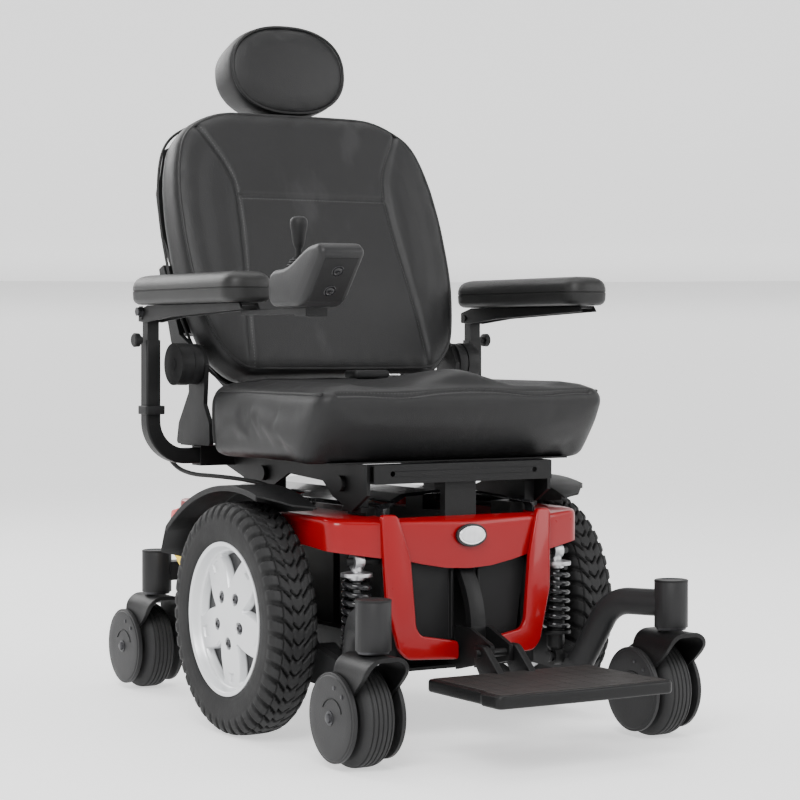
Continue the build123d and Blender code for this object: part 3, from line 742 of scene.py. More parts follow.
def build_seat():
    """Seat cushion with its piping and front seam."""
    half, wide = SEAT_HALF + 5, SEAT_HALF + 11
    corners = [(-half, SEAT_REAR), (half, SEAT_REAR), (wide, -226), (130, SEAT_FRONT - 1),
               (0, SEAT_FRONT - 2), (-130, SEAT_FRONT - 1), (-wide, -226)]
    outline = polygon_outline(corners, 30, 9)
    levels = [(422, 16), (424, 8), (430, 3), (450, 0), (480, -1), (510, -1), (520, 2), (528, 8), (532, 16)]
    grid = pad_grid(outline, levels, lambda x, y: 423 + 0 * x, seat_top)
    rim = len(levels) + PAD_RINGS
    share = np.linspace(1, 0, PAD_RINGS)[:, None]
    inner = grid[rim:]
    inner[..., 2] = 532 + (inner[..., 2] - 532) * np.sqrt(1 - share ** 6)
    forward = smooth(-grid[..., 1], -120, 235)
    grid[..., 1] += seat_front(grid[..., 2]) * forward
    piece = cushion("seat_cushion_cover", grid, size("swell"))
    across = np.linspace(-226, 226, 140)
    slant = (0, math.sqrt(0.5), -math.sqrt(0.5))
    seam = np.column_stack([across, 0 * across - 236, 545 - 12 * bell(np.abs(across), 120, 60)])
    seam = on_surface(piece, seam, slant)
    press(piece, seam, 4.0, 4.5, slant)
    seam = ease(on_surface(piece, seam, slant), 6)
    set_number(piece, "panel", np.zeros(len(piece.data.vertices)))
    finish_piece(piece, "vinyl", "base", ["seat_cushion"], 60)
    for index, shift in enumerate((-4.0, 4.0)):
        row = on_surface(piece, seam + shift * np.array([0, 1, 1]) * math.sqrt(0.5), slant)
        stitches(f"seat_stitches_{index}", row, 0.3, "base", (0, -0.7, 0.7))
    for side, sign in SIDES.items():
        build_seat_piping(piece, side, sign)
    build_belt(piece)


def build_seat_piping(piece, side, sign):
    """Cord up the rear corner of the seat and forward along its upper edge."""
    rise = np.linspace(440, 516, 24)
    upright = np.column_stack([0 * rise + sign * 300, 138 + 0 * rise, rise])
    run = np.linspace(132, -206, 90)
    along = np.column_stack([0 * run + sign * 300, run, 524 + 0 * run])
    path = on_surface(piece, np.vstack([upright, along]), (-sign, 0, 0), 0.6)
    cord_on(f"seat_piping_{side}", ease(path, 6), "vinyl", "base", up=(1, 0, 0))


def strap_surface(top, thickness):
    """Closed strap: the top grid, and the same grid lowered by the thickness."""
    below = top[:, ::-1] - np.array([0, 0, thickness])
    return np.concatenate([top, below], 1)


def build_belt(seat):
    """Lap belt lying on the seat, with its buckle, tongue and adjuster."""
    low, high = 82.0, 118.0
    rows = []
    for y in np.linspace(low, high, 6):
        x = np.linspace(-206, 206, 110)
        wander = 5 * np.sin(x / 60) * bell(x, 90, 90)
        line = on_surface(seat, np.column_stack([x, y + wander, 0 * x + 600]), (0, 0, -1), 1.6)
        rows.append(ease(line, 8))
    top = np.stack(rows, 1)
    top[..., 2] += 1.2 * bell(top[..., 0], -70, 24)
    strap = grid_piece("lap_belt_strap", strap_surface(top, 1.4), close_columns=True, caps=True)
    finish_piece(strap, "webbing", "base", ["lap_belt"])
    rest = top[len(top) // 2, 2, 2]
    housing = [(-26, 78), (10, 78), (30, 84), (44, 86), (44, 112), (30, 114), (10, 120), (-26, 120)]
    plate = [(43, 88), (66, 86), (66, 112), (43, 110)]
    slider = [(66, 80), (88, 80), (88, 120), (66, 120)]
    for name, corners, corner, lift, height, radius, finish in (
            ("buckle", housing, 9, -1, 14, 4.5, "moulded"), ("tongue", plate, 4, 3, 3.5, 1.2, "chrome"),
            ("adjuster", slider, 5, 0, 7, 2, "moulded")):
        bottom = rest + lift
        part = slab(f"lap_belt_{name}", polygon_outline(corners, corner), bottom, bottom + height, radius)
        finish_piece(part, finish, "base")


# ---------------------------------------------------------------- backrest
PIVOT = np.array([0.0, 218.0, 565.0])
LEAN = math.radians(21)
HEADREST_CENTRE = np.array([0.0, 391.0, 1064.5])
HEADREST_LEAN = math.radians(8)


def lean_back(pieces, angle, origin):
    """Turn pieces that were made upright back by an angle about the X axis, then set them on their origin."""
    for piece in pieces:
        x, y, z = coordinates(piece).T
        leant = np.column_stack([x, y * math.cos(angle) + z * math.sin(angle),
                                 z * math.cos(angle) - y * math.sin(angle)])
        move_to(piece, leant + origin)


BACK_HALF = [(184, -38), (227, 4), (243, 52), (256, 115), (260, 190), (259, 265), (251, 335), (227, 407),
             (150, 447)]


def back_depth(x, z):
    """Height of the front face: 51 + bolsters beyond the side seams + a lumbar swell, lower at both ends."""
    seam = side_seam(z)
    bolster = 13 * smooth(np.abs(x), seam - 4, seam + 30)
    lumbar = 4 * bell(z, 120, 90) * bell(x, 0, 170)
    return 51 + bolster + lumbar - 6 * smooth(z, 380, 440) - 5 * smooth(-z, -50, 36)


def side_seam(z):
    """Distance of the side seams from the middle: 144 at the cross seam, wider above and below."""
    return 144 + 56 * smooth(z, 278, 440) ** 1.3 + 24 * smooth(-z, -278, 30)


def build_back():
    """Back cushion: bolsters, seams, piping and stitches, made upright and then reclined."""
    outline = polygon_outline([(-x, z) for x, z in BACK_HALF] + BACK_HALF[::-1], 48, 9)
    levels = [(-27, 20), (-22, 8), (-12, 2), (6, 0), (26, 0), (38, 1), (45, 5), (50, 14)]
    grid = pad_grid(outline, levels, lambda x, z: -24 + 0 * x, back_depth)
    rim = len(levels) + PAD_RINGS
    share = np.linspace(1, 0, PAD_RINGS)[:, None]
    front = grid[rim:]
    front[..., 2] = 50 + (front[..., 2] - 50) * (1 - share ** 5)
    grid = np.stack([grid[..., 0], -grid[..., 2], grid[..., 1]], -1)
    piece = cushion("back_cushion_cover", grid, size("swell"))
    rise = np.linspace(-22, 424, 160)
    made = []
    for sign in (-1, 1):
        seam = np.column_stack([sign * side_seam(rise), 0 * rise - 60, rise])
        seam = on_surface(piece, seam, (0, 1, 0))
        press(piece, seam, 4.5, 5.5, (0, 1, 0))
    across = np.linspace(-140, 140, 90)
    cross = on_surface(piece, np.column_stack([across, 0 * across - 60, 278 + 0 * across]), (0, 1, 0))
    press(piece, cross, 3.0, 4.5, (0, 1, 0))
    points = coordinates(piece)
    set_number(piece, "panel", smooth(side_seam(points[:, 2]) - np.abs(points[:, 0]), -2, 6))
    for name, path in back_lines(piece, rise, across):
        made.append(stitches(name, path, 0.25, "backrest", (0, -1, 0)))
    for name, inset, depth in (("front", 12, -70), ("rear", -0.5, 12)):
        loop = outline + inward(outline) * inset
        path = np.column_stack([loop[:, 0], 0 * loop[:, 0] + depth, loop[:, 1]])
        if name == "front":
            path = on_surface(piece, path, (0, 1, 0), 0.2)
        path = smooth_loop(path)
        made.append(cord_on(f"back_piping_{name}", path, "vinyl", "backrest", True))
    finish_piece(piece, "vinyl", "backrest", ["back_cushion"], 60)
    lean_back((piece, *made), LEAN, PIVOT)


def smooth_loop(path, rounds=4):
    """Closed path averaged with its neighbours."""
    for _ in range(rounds):
        path = (np.roll(path, 1, 0) + 2 * path + np.roll(path, -1, 0)) / 4
    return path


def back_lines(piece, rise, across):
    """Stitch rows: one inside each side seam, and one below the cross seam."""
    for side, sign in SIDES.items():
        line = np.column_stack([sign * (side_seam(rise) - 4.5), 0 * rise - 60, rise])
        yield f"back_stitches_{side}", on_surface(piece, line, (0, 1, 0))
    line = np.column_stack([across, 0 * across - 60, 273.5 + 0 * across])
    yield "back_stitches_cross", on_surface(piece, line, (0, 1, 0))


def build_headrest():
    """Oval headrest with a piped front face."""
    outline = superellipse(112, 80, 2.3, 96)
    levels = [(-44, 18), (-41, 8), (-32, 3), (-10, 1), (12, 0), (30, 1), (38, 5)]
    grid = pad_grid(outline, levels, lambda x, z: -44 + 0 * x, lambda x, z: 48 - 0.0009 * (x * x + z * z))
    grid[..., 1] -= 9 * smooth(-grid[..., 2], -20, 40) * smooth(grid[..., 1], 0, 60)
    grid = np.stack([grid[..., 0], -grid[..., 2], grid[..., 1]], -1)
    piece = cushion("headrest_cover", grid, 3.0)
    set_number(piece, "panel", np.zeros(len(piece.data.vertices)))
    loop = outline + inward(outline) * 4.5
    path = np.column_stack([loop[:, 0], 0 * loop[:, 0] - 38, loop[:, 1]])
    piping = cord_on("headrest_piping", path, "vinyl", "headrest", True)
    finish_piece(piece, "vinyl", "headrest", ["headrest_cushion"], 60)
    lean_back((piece, piping), HEADREST_LEAN, HEADREST_CENTRE)


# ---------------------------------------------------------------- arms and controller
def build_arm_pads():
    """Armrest pads: rounded ends, a parting line at mid height and a crowned top."""
    levels = [(660.4, 14), (661, 9), (664, 4), (669, 1.2), (681, 0.3), (681.6, 1.6), (682.6, 1.6),
              (683.2, 0.5), (689, 0.8), (695, 2.5), (700, 6), (704, 12), (706.4, 20), (707.6, 29)]
    for side, sign in SIDES.items():
        outline = polygon_outline([(269, -110), (351, -110), (351, 254), (269, 254)], 34, 14)
        grid = carry(outline, levels, mirror=sign)
        piece = grid_piece(f"arm_pad_cover_{side}", grid, close_columns=True, caps=True)
        finish_piece(piece, "foam skin", f"armrest_{side}", [f"arm_pad_{side}"], 40)


CONTROLLER = [(-181, 651), (-181, 705), (-236, 707), (-299, 737), (-334, 741), (-346, 727), (-283, 651)]
STICK = np.array([-290.0, -212.0, 0.0])
PANEL_START = np.array([-283.0, 651.0])
PANEL_ALONG = np.array([-63.0, 76.0]) / np.linalg.norm([-63.0, 76.0])
PANEL_OUT = np.array([-PANEL_ALONG[1], PANEL_ALONG[0]])


def controller_port(index, distance):
    """Round socket on the sloping panel, that far up it."""
    y, z = PANEL_START + PANEL_ALONG * distance + PANEL_OUT * 0.8
    profile = [(-2, 0), (-2, 9.5), (0.6, 9.5), (1.4, 8.5), (1.4, 6.5), (0.4, 5.5), (0.9, 4), (0.9, 0)]
    port = turned(profile, (0, 0, 0), 40, "y")
    turn = math.atan2(PANEL_OUT[1], PANEL_OUT[0])
    y_local, z_local = port[..., 1].copy(), port[..., 2].copy()
    port[..., 1] = y + y_local * math.cos(turn) - z_local * math.sin(turn)
    port[..., 2] = z + y_local * math.sin(turn) + z_local * math.cos(turn)
    port[..., 0] += STICK[0]
    piece = grid_piece(f"controller_port_{index}", port, close_columns=True)
    finish_piece(piece, "gloss black", "armrest_right")


def build_controller():
    """Controller housing, its dark lower panel with two sockets, joystick boot and knob."""
    housing = slab("controller_shell", polygon_outline(CONTROLLER, 24, 10), -326, -254, 8, order="yzx")
    finish_piece(housing, "stem coat", "armrest_right", ["controller_housing"], 50)
    section = ((10, 0.8), (88, 0.8), (88, -4), (10, -4))
    panel = [PANEL_START + PANEL_ALONG * along + PANEL_OUT * out for along, out in section]
    piece = slab("controller_panel", polygon_outline(panel, 1.0, 3), -318, -262, 2, order="yzx")
    finish_piece(piece, "moulded", "armrest_right")
    for index, distance in enumerate((30.0, 66.0)):
        controller_port(index, distance)
    boot = [(705, 0), (705, 19), (708, 20), (710, 17), (712, 18.5), (714, 15.5), (716, 16.5), (718, 13),
            (720, 13.5), (722, 9), (724, 9), (724, 0)]
    piece = turned_piece("joystick_bellows", boot, STICK, 48, "z")
    finish_piece(piece, "moulded", "stick_boot", ["joystick_boot"], 50)
    knob = [(712, 0), (712, 4.5), (735, 4.5), (740, 7.5), (746, 9), (760, 11), (770, 13), (776, 13),
            (780, 11.5), (783, 7.5), (784, 0)]
    piece = turned_piece("joystick_knob", knob, STICK, 48, "z")
    finish_piece(piece, "moulded", "stick", ["joystick"], 70)


def build_arm_details():
    """Cable strap, clamp knobs and hex pivot bolts on the arms."""
    band = polygon_outline([(293, 229), (327, 229), (327, 264), (293, 264)], 5)
    knob = [(327, 0), (327, 6), (331, 6), (332, 11), (340, 11.5), (342, 9), (342, 0)]
    bolt = [(326, 0), (326, 10), (328, 10), (328, 8), (334, 8), (335, 7), (335, 0)]
    for side, sign in SIDES.items():
        strap = slab(f"arm_strap_{side}", band, 484, 498, 1.5, mirror=sign)
        finish_piece(strap, "moulded", "base")
        piece = turned_piece(f"arm_clamp_knob_{side}", knob, (0, 248, 604), 40, sign=sign)
        finish_piece(piece, "moulded", "base")
        piece = turned_piece(f"arm_pivot_bolt_{side}", bolt, (0, 250, 650), 6, sign=sign)
        finish_piece(piece, "dark steel", f"post_{side}")


def build_recliner_caps():
    """Round recliner covers: a stepped disc with a groove in its face."""
    profile = [(262, 0), (262, 34), (276, 34), (281, 32.5), (284, 29), (284, 26), (281.5, 24), (281.5, 22),
               (283, 21), (283, 0)]
    for side, sign in SIDES.items():
        piece = turned_piece(f"recliner_cap_{side}", profile, PIVOT, 96, sign=sign)
        finish_piece(piece, "moulded", "base")


# ---------------------------------------------------------------- wheels
WHEEL_X, WHEEL_Z = 270, 178
NUT_CIRCLE = 38


def tread_height(x, turn, pitches):
    """Share of the tread depth at (x across in mm, turn): a centre row of chevrons, a second row beside it,
    and lugs that run down the shoulders."""
    phase = turn * pitches / (2 * math.pi)
    distance = np.abs(x)

    def row(shift, slant, low, high, inner, outer):
        """One band of blocks between two distances, with slanted gaps."""
        step = np.mod(phase + shift + distance * slant, 1)
        blocks = smooth(step, low - 0.09, low) * (1 - smooth(step, high, high + 0.09))
        return blocks * smooth(distance, inner - 1.2, inner) * (1 - smooth(distance, outer, outer + 1.2))

    centre = row(0.0, 0.045, 0.16, 0.90, -5, 8.5)
    second = row(0.45, 0.050, 0.16, 0.84, 11, 22.5)
    shoulder = row(0.1, 0.020, 0.22, 0.80, 25, 60)
    return np.maximum.reduce([centre, second, shoulder])


def build_tyre(side, sign):
    """Drive tyre: x across and radius follow a section, plus the tread on the crown and shoulders."""
    section = np.array([(30, 112), (34, 117), (35.5, 120), (37, 124), (38.4, 134), (39, 146), (38.6, 153),
                        (37.5, 158), (36, 163), (33, 167.6), (28, 171), (20, 172.6), (10, 173.2), (0, 173.2)])
    full = np.vstack([section, section[-2::-1] * np.array([-1, 1])])
    run = np.concatenate([[0], np.cumsum(np.linalg.norm(np.diff(full, axis=0), axis=1))])
    even = np.linspace(0, run[-1], 96)
    across, radius = np.interp(even, run, full[:, 0]), np.interp(even, run, full[:, 1])
    pitches = sizes().tread_pitches
    turn = np.arange(pitches * 14) / (pitches * 14) * 2 * math.pi
    height = tread_height(across[:, None], turn[None], pitches) * smooth(radius, 151, 158)[:, None]
    outward = smooth(radius, 150, 172)[:, None]
    reach = radius[:, None] + height * size("tread_depth") * (0.35 + 0.65 * outward)
    wide = np.clip(across[:, None] * (1 + 0.055 * height * (1 - outward)), -39.9, 39.9)
    grid = np.stack([sign * WHEEL_X + wide, reach * np.cos(turn), WHEEL_Z + reach * np.sin(turn)], -1)
    piece = grid_piece(f"drive_tyre_surface_{side}", grid, close_columns=True, close_rows=True)
    points = coordinates(piece) - np.array([sign * WHEEL_X, 0, WHEEL_Z])
    reach, angle = np.linalg.norm(points[:, 1:], axis=1), np.arctan2(points[:, 2], points[:, 1])
    raised = tread_height(points[:, 0], angle, pitches)
    set_number(piece, "tread", 0.35 * raised * smooth(reach, 158, 172))
    # gap marks where painted shade darkens the rubber between the tread blocks
    set_number(piece, "gap", (1 - raised) * smooth(reach, 156, 166))
    finish_piece(piece, "drive rubber", f"drive_wheel_{side}", [f"drive_tyre_{side}"], 40)


def rim_face(radius, turn):
    """(x, depth) of the rim's face: a raised lip, five broad spokes with a slot at each end, V-shaped
    pockets between them with sloping walls, and a round well for each nut."""
    fifth = 2 * math.pi / 5
    spoke = np.mod(turn - math.radians(54) + fifth / 2, fifth) - fifth / 2
    pocket = np.mod(turn - math.radians(90) + fifth / 2, fifth) - fifth / 2
    face = 26 - 5 * smooth(radius, 40, 100) + 15 * smooth(radius, 105, 112)
    face += 1.8 * bell(radius, 30, 14)
    half = np.radians(2.5 + 19.5 * np.clip((radius - 42) / 56, 0, 1))
    inside = (half - np.abs(pocket)) * radius
    inside = np.minimum(inside, np.minimum(radius - 46, 104.5 - radius))
    depth = 13 * smooth(inside, 0, 6)
    slot = np.minimum(9.5 - np.abs(spoke) * radius, np.minimum(radius - 84, 101 - radius))
    depth = np.maximum(depth, 3.6 * smooth(slot, 0, 2.4))
    well_y, well_z = radius * np.cos(spoke) - NUT_CIRCLE, radius * np.sin(spoke)
    depth = np.maximum(depth, 7 * smooth(9.8 - np.hypot(well_y, well_z), 0, 1.6))
    return face - depth, depth


def build_rim(side, sign):
    """Cast rim as a height field in polar coordinates, closed by a plain back."""
    turn = np.arange(900) / 900 * 2 * math.pi
    radius = np.concatenate([[0.01], np.linspace(4, 106, 92), np.linspace(107, 117.5, 9)])
    face = rim_face(radius[:, None], turn[None])[0]
    back = np.array([(30, 118.5), (-33, 118.5), (-36, 117), (-36, 110), (-28, 104), (-8, 97), (-8, 32),
                     (-34, 29), (-34, 0.01)])
    x = np.concatenate([face, np.repeat(back[:, :1], len(turn), 1)])
    reach = np.concatenate([radius, back[:, 1]])[:, None]
    grid = np.stack([sign * (WHEEL_X + x), reach * np.cos(turn), WHEEL_Z + reach * np.sin(turn)], -1)
    piece = grid_piece(f"drive_rim_surface_{side}", grid, close_columns=True)
    x, y, z = (coordinates(piece) - np.array([0, 0, WHEEL_Z])).T
    deep = rim_face(np.hypot(y, z), np.arctan2(z, y))[1]
    # deep marks the pocket bottoms that get painted shade
    set_number(piece, "deep", smooth(deep, 10, 12.6) * (x * sign > WHEEL_X))
    finish_piece(piece, "silver paint", f"drive_wheel_{side}", [f"drive_rim_{side}"], 30)


def build_nuts(side, sign):
    """Five wheel nuts, each in its cup."""
    nut = [(288, 0.01), (288, 6.3), (296, 6.3), (298, 5.2), (299, 3), (299, 2.6), (296.5, 2.4), (296.5, 0.01)]
    cup = [(286.5, 0.01), (286.5, 9.6), (288.5, 9.6), (288.5, 7.5), (288.0, 7.0), (288.0, 0.01)]
    parts = []
    for angle in np.radians(54 + 72 * np.arange(5)):
        centre = (0, NUT_CIRCLE * math.cos(angle), WHEEL_Z + NUT_CIRCLE * math.sin(angle))
        for profile, count in ((nut, 6), (cup, 32)):
            parts.append((turned(mirrored(profile, sign), centre, count), {"close_columns": True}))
    finish_piece(join_grids(f"drive_nuts_{side}", parts), "dark steel", f"drive_wheel_{side}")


def build_drive_wheels():
    """Both drive wheels."""
    for side, sign in SIDES.items():
        build_tyre(side, sign)
        build_rim(side, sign)
        build_nuts(side, sign)


def caster_section():
    """(x, radius) of a caster tyre: rounded shoulders, five grooves 2.4 mm deep and a narrower web inside."""
    x = np.linspace(-24.6, 24.6, 120)
    radius = 72.8 - 12 * (np.abs(x) / 24.6) ** 5
    for groove in (-14.5, -7.2, 0.0, 7.2, 14.5):
        radius -= 2.4 * np.exp(-((x - groove) / 0.95) ** 4)
    web = np.array([(24.8, 50), (20, 47), (16, 44), (16, 18), (22, 16), (22, 6.1)])
    return np.vstack([web[::-1] * np.array([-1, 1]), np.column_stack([x, radius]), web])


def caster_cover(x0, x1, sign):
    """Cover disc: a circle carried through stepped levels."""
    levels = [(x0, 0.6), (x0 + 0.6, 0), (x1 - 3.2, 0), (x1 - 2.4, 0.8), (x1 - 2.2, 3.5), (x1 - 1.0, 5),
              (x1 - 0.4, 9), (x1, 20)]
    return carry(superellipse(64, 64, 2, 120), levels, "yzx", sign)


def build_caster(end, side):
    """Tyre, two covers, their trim, screws and the axle bolt of one caster."""
    body, fork = f"caster_{end}_{side}", f"fork_{end}_{side}"
    centre = centre_of(f"caster_wheel_{end}_{side}")
    tyre = turned(caster_section(), centre, 144)
    piece = grid_piece(f"caster_tyre_{end}_{side}", tyre, close_columns=True, close_rows=True)
    finish_piece(piece, "caster rubber", body, [f"caster_wheel_{end}_{side}"], 40)
    covers, lines, bolts = [], [], []
    bend = np.linspace(math.radians(170), math.radians(20), 60)
    axle = [(44.6, 0.01), (44.6, 10.5), (46.2, 10.5), (46.6, 8), (46.6, 7), (49.4, 6.4), (50, 5.4),
            (50, 0.01)]
    screw = [(44.0, 0.01), (44.0, 3.4), (46.0, 3.2), (46.5, 2.2), (46.5, 0.01)]
    closed = {"close_columns": True, "caps": True}
    for sign in (-1, 1):
        covers.append((caster_cover(36.2, 45.2, sign) + centre, closed))
        arc = np.column_stack([0 * bend + sign * 45.4, 27 * np.cos(bend) - 6, 22 * np.sin(bend) + 6]) + centre
        lines.append((sweep(arc, 1.1, 6, up=(1, 0, 0)), closed))
        for profile, y, z, count in ((axle, 0, 0, 24), (screw, -34, 34, 16), (screw, -12, 44, 16)):
            grid = turned(mirrored(profile, sign), centre + np.array([0, y, z]), count)
            bolts.append((grid, {"close_columns": True}))
    piece = join_grids(f"caster_discs_{end}_{side}", covers)
    finish_piece(piece, "stem coat", fork, [f"caster_covers_{end}_{side}"], 30)
    piece = join_grids(f"caster_lines_{end}_{side}", lines)
    finish_piece(piece, "powder coat", fork, angle=60)
    piece = join_grids(f"caster_bolts_{end}_{side}", bolts)
    finish_piece(piece, "dark steel", fork)


def build_casters():
    """All four casters."""
    for end in ENDS:
        for side in SIDES:
            build_caster(end, side)


def fork_arch(end, side):
    """Bent plate over a caster: a rounded arch across the wheel, wide at its top and drawn back to the
    axle at its feet, with a rolled edge."""
    low, high = box_of(f"caster_fork_{end}_{side}")
    stem = (low[0] + high[0]) / 2
    axle = centre_of(f"caster_wheel_{end}_{side}")
    drop = np.linspace(73, 138, 14)
    bend = np.linspace(0, math.pi / 2, 9)[1:]
    foot = np.column_stack([0 * drop + 33, drop])
    shoulder = np.column_stack([11 + 22 * np.cos(bend), 139 + 22 * np.sin(bend)])
    half = np.vstack([foot, shoulder, [(4, 161)]])
    path = np.vstack([half, half[::-1] * np.array([-1, 1])])
    rise = smooth(path[:, 1], 73, 158)
    stem_y = axle[1] - 44
    front = axle[1] - 11 - (axle[1] - 11 - (stem_y - 44)) * rise ** 0.85
    rear = axle[1] + 11 + (stem_y + 48 - axle[1] - 11) * rise
    along = np.gradient(path, axis=0)
    along /= np.linalg.norm(along, axis=1)[:, None]
    outward = np.column_stack([along[:, 1], -along[:, 0]])
    lip = np.array([(0, -3), (0, 3), (0.02, 3.6), (0.06, 3), (0.94, 3), (0.98, 3.6), (1, 3), (1, -3),
                    (0.5, -3)])
    y = front[:, None] + (rear - front)[:, None] * lip[None, :, 0]
    flat = path[:, None] + outward[:, None] * lip[None, :, 1, None]
    grid = np.stack([stem + flat[..., 0], y, flat[..., 1]], -1)
    piece = grid_piece(f"fork_arch_{end}_{side}", grid, close_columns=True, caps=True)
    collar = [(166, 0.01), (166, 22), (168.5, 23), (170, 23), (170, 0.01)]
    ring = turned_piece(f"fork_seat_{end}_{side}", collar, (stem, stem_y, 0), 40, "z")
    finish_piece(ring, "dark steel", f"fork_{end}_{side}")
    end_of_bolt = [(150, 0.01), (150, 9), (158, 9), (158, 0.01)]
    stud = turned_piece(f"fork_stud_{end}_{side}", end_of_bolt, (stem, stem_y, 0), 6, "z")
    finish_piece(stud, "steel", f"fork_{end}_{side}")
    edge = piece.modifiers.new("Edge", "BEVEL")
    edge.width, edge.segments, edge.angle_limit = 1.6 * MM, 2, math.radians(40)
    finish_piece(piece, "powder coat", f"fork_{end}_{side}", [f"caster_fork_{end}_{side}"], 50)


def build_forks():
    """Forks, and the cap ring on each stem collar."""
    for end in ENDS:
        for side in SIDES:
            fork_arch(end, side)
    cap = [(238.5, 0.01), (238.5, 25.8), (240.5, 25.8), (241.5, 24.5), (241.5, 22), (240.9, 21),
           (240.9, 0.01)]
    for side, sign in SIDES.items():
        for end, (x, y), body in (("front", (262, -377), f"arm_{side}"), ("rear", (190, 481), "rear_axle")):
            piece = turned_piece(f"stem_cap_{end}_{side}", cap, (sign * x, y, 0), 48, "z")
            finish_piece(piece, "moulded", body)


def build_springs():
    """Shock springs: seven evenly spaced turns of a helix between the upper and lower eye."""
    wire, turns = 4.6, 7
    for side in SIDES:
        low, high = box_of(f"shock_spring_{side}")
        x, y = (low[:2] + high[:2]) / 2
        reach = (high[0] - low[0]) / 2 - wire
        share = np.linspace(0, 1, turns * 28)
        turn = share * turns * 2 * math.pi
        drop = high[2] - wire - share * (high[2] - low[2] - 2 * wire)
        path = np.column_stack([x + reach * np.cos(turn), y + reach * np.sin(turn), drop])
        piece = grid_piece(f"shock_coil_{side}", sweep(path, wire, 10), close_columns=True, caps=True)
        cover_piece(piece, "gloss black", 60)
        top, bottom = metres([(x, y, high[2]), (x, y, low[2])])
        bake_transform(piece)
        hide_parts(f"shock_spring_{side}")


# ---------------------------------------------------------------- body
SHROUD_WALL = 3.5


def shroud_top(x, y):
    """Height of the bonnet: 349 in the middle, 340 beside it, and falling away at the nose."""
    across = np.interp(np.abs(x), [0, 70, 110, 150, 190, 225], [349, 348, 344, 340, 340, 342])
    nose = np.interp(y, [-232, -213, -150, -60, 400], [324, 333, 348, 352, 356])
    return -np.log(np.exp(-across / 3) + np.exp(-nose / 3)) * 3


def shroud_hem(x, y):
    """Height of the lower edge: an arc under the badge, then rising to the corners and along the sides."""
    front = np.interp(np.abs(x), [0, 40, 80, 110, 135, 160, 225], [259, 261, 268, 275, 278, 281, 291])
    return front + 5 * smooth(y, -190, -100)


def ring_path(corners, radius, count, start):
    """Closed rounded path resampled to a count of points, beginning nearest the start."""
    path = polygon_outline(corners, radius, 9)
    first = np.argmin(np.linalg.norm(path - np.array(start), axis=1))
    path = np.roll(path, -first, 0)
    loop = np.vstack([path, path[:1]])
    run = np.concatenate([[0], np.cumsum(np.linalg.norm(np.diff(loop, axis=0), axis=1))])
    even = np.linspace(0, run[-1], count + 1)[:-1]
    return np.column_stack([np.interp(even, run, loop[:, axis]) for axis in range(2)])


def build_shroud():
    """Red bonnet: at each point of the plan a wall from the hem to a rounded crest, then a top that runs in
    to the opening; the same rows a wall's thickness inside close it."""
    corners = [(-225, 330), (-225, -190), (-150, -212), (0, -222), (150, -212), (225, -190), (225, 330)]
    outer = ring_path(corners, 22, 420, (0, 330))
    inner = ring_path([(-137, 322), (-137, -195), (137, -195), (137, 322)], 14, 420, (0, 322))
    rows = [np.column_stack([outer, shroud_hem(*outer.T)])]
    for share, drop in ((0, 12), (0.004, 6), (0.03, 2.2), (0.09, 0.5), (0.2, 0), (0.45, 0), (0.75, 0),
                        (1, 0)):
        flat = outer + (inner - outer) * share
        rows.append(np.column_stack([flat, shroud_top(*flat.T) - drop]))
    skin = np.stack(rows)
    lining = skin[::-1].copy()
    lining[:-1, :, 2] -= SHROUD_WALL
    toward = inner - outer
    lining[..., :2] += toward / np.maximum(np.linalg.norm(toward, axis=1), 1)[:, None] * SHROUD_WALL
    piece = grid_piece("shroud_surface", np.concatenate([skin, lining]), close_columns=True, close_rows=True)
    finish_piece(piece, "bodywork", "base", ["body_shroud"], 50)


def build_front():
    """Trim bars and badge on the front."""
    bar = [(152, 344), (147, 220), (127, 142), (113, 128), (26, 124), (26, 151), (90, 162), (98, 174),
           (107, 276), (126, 344)]
    for side, sign in SIDES.items():
        grid = carry(polygon_outline(bar, 7, 6), rounded_levels(-231, -221, 2.4), "xzy", sign)
        grid[..., 1] += 9 * smooth(grid[..., 2], 322, 352) + 0.0004 * grid[..., 0] ** 2
        grid[..., 1] -= 0.04 * np.clip(175 - grid[..., 2], 0, 60)
        piece = grid_piece(f"trim_bar_{side}", grid, close_columns=True, caps=True)
        finish_piece(piece, "bodywork", "base", ["front_trim"], 50)
    for name, half_x, half_z, low, high, finish in (("rim", 27, 17.5, -227.5, -222, "gloss black"),
                                                    ("ring", 23.5, 14.2, -229, -226, "chrome"),
                                                    ("face", 20.5, 11.4, -229.6, -228, "badge face")):
        outline = superellipse(half_x, half_z, 2, 64) + np.array([0, 309])
        piece = slab(f"badge_{name}", outline, low, high, 0.8, order="xzy")
        finish_piece(piece, finish, "base", ["badge"], 50)


def build_footplate():
    """Foot platform: a black tray, a textured pad on it and two ears at its hinge."""
    plan = [(-145, -328), (-145, -474), (-151, -481), (-151, -527), (0, -530), (151, -527), (151, -481),
            (145, -474), (145, -328)]
    outline = polygon_outline(plan, 11, 7)
    tray = slab("footplate_tray", outline, 97, 115.6, 4.2)
    finish_piece(tray, "satin", "foot_platform", angle=50)
    pad = slab("footplate_pad", outline + inward(outline) * 7, 110, 116.6, 0.7)
    finish_piece(pad, "platform", "foot_platform", ["footplate"], 50)
    ear = [(-284, 152), (-308, 152), (-350, 116), (-350, 106), (-300, 106), (-284, 126)]
    for side, sign in SIDES.items():
        outline = polygon_outline(ear, 7)
        piece = slab(f"footplate_ear_{side}", outline, 22, 34, 1.6, order="yzx", mirror=sign)
        finish_piece(piece, "satin", "foot_platform")


def build_trim():
    """Reflectors behind the fenders."""
    outline = polygon_outline([(247, 306), (279, 306), (276, 326), (249, 331)], 6)
    for side, sign in SIDES.items():
        piece = slab(f"reflector_{side}", outline, 236, 262, 3, order="yzx", mirror=sign)
        finish_piece(piece, "reflector", "base")


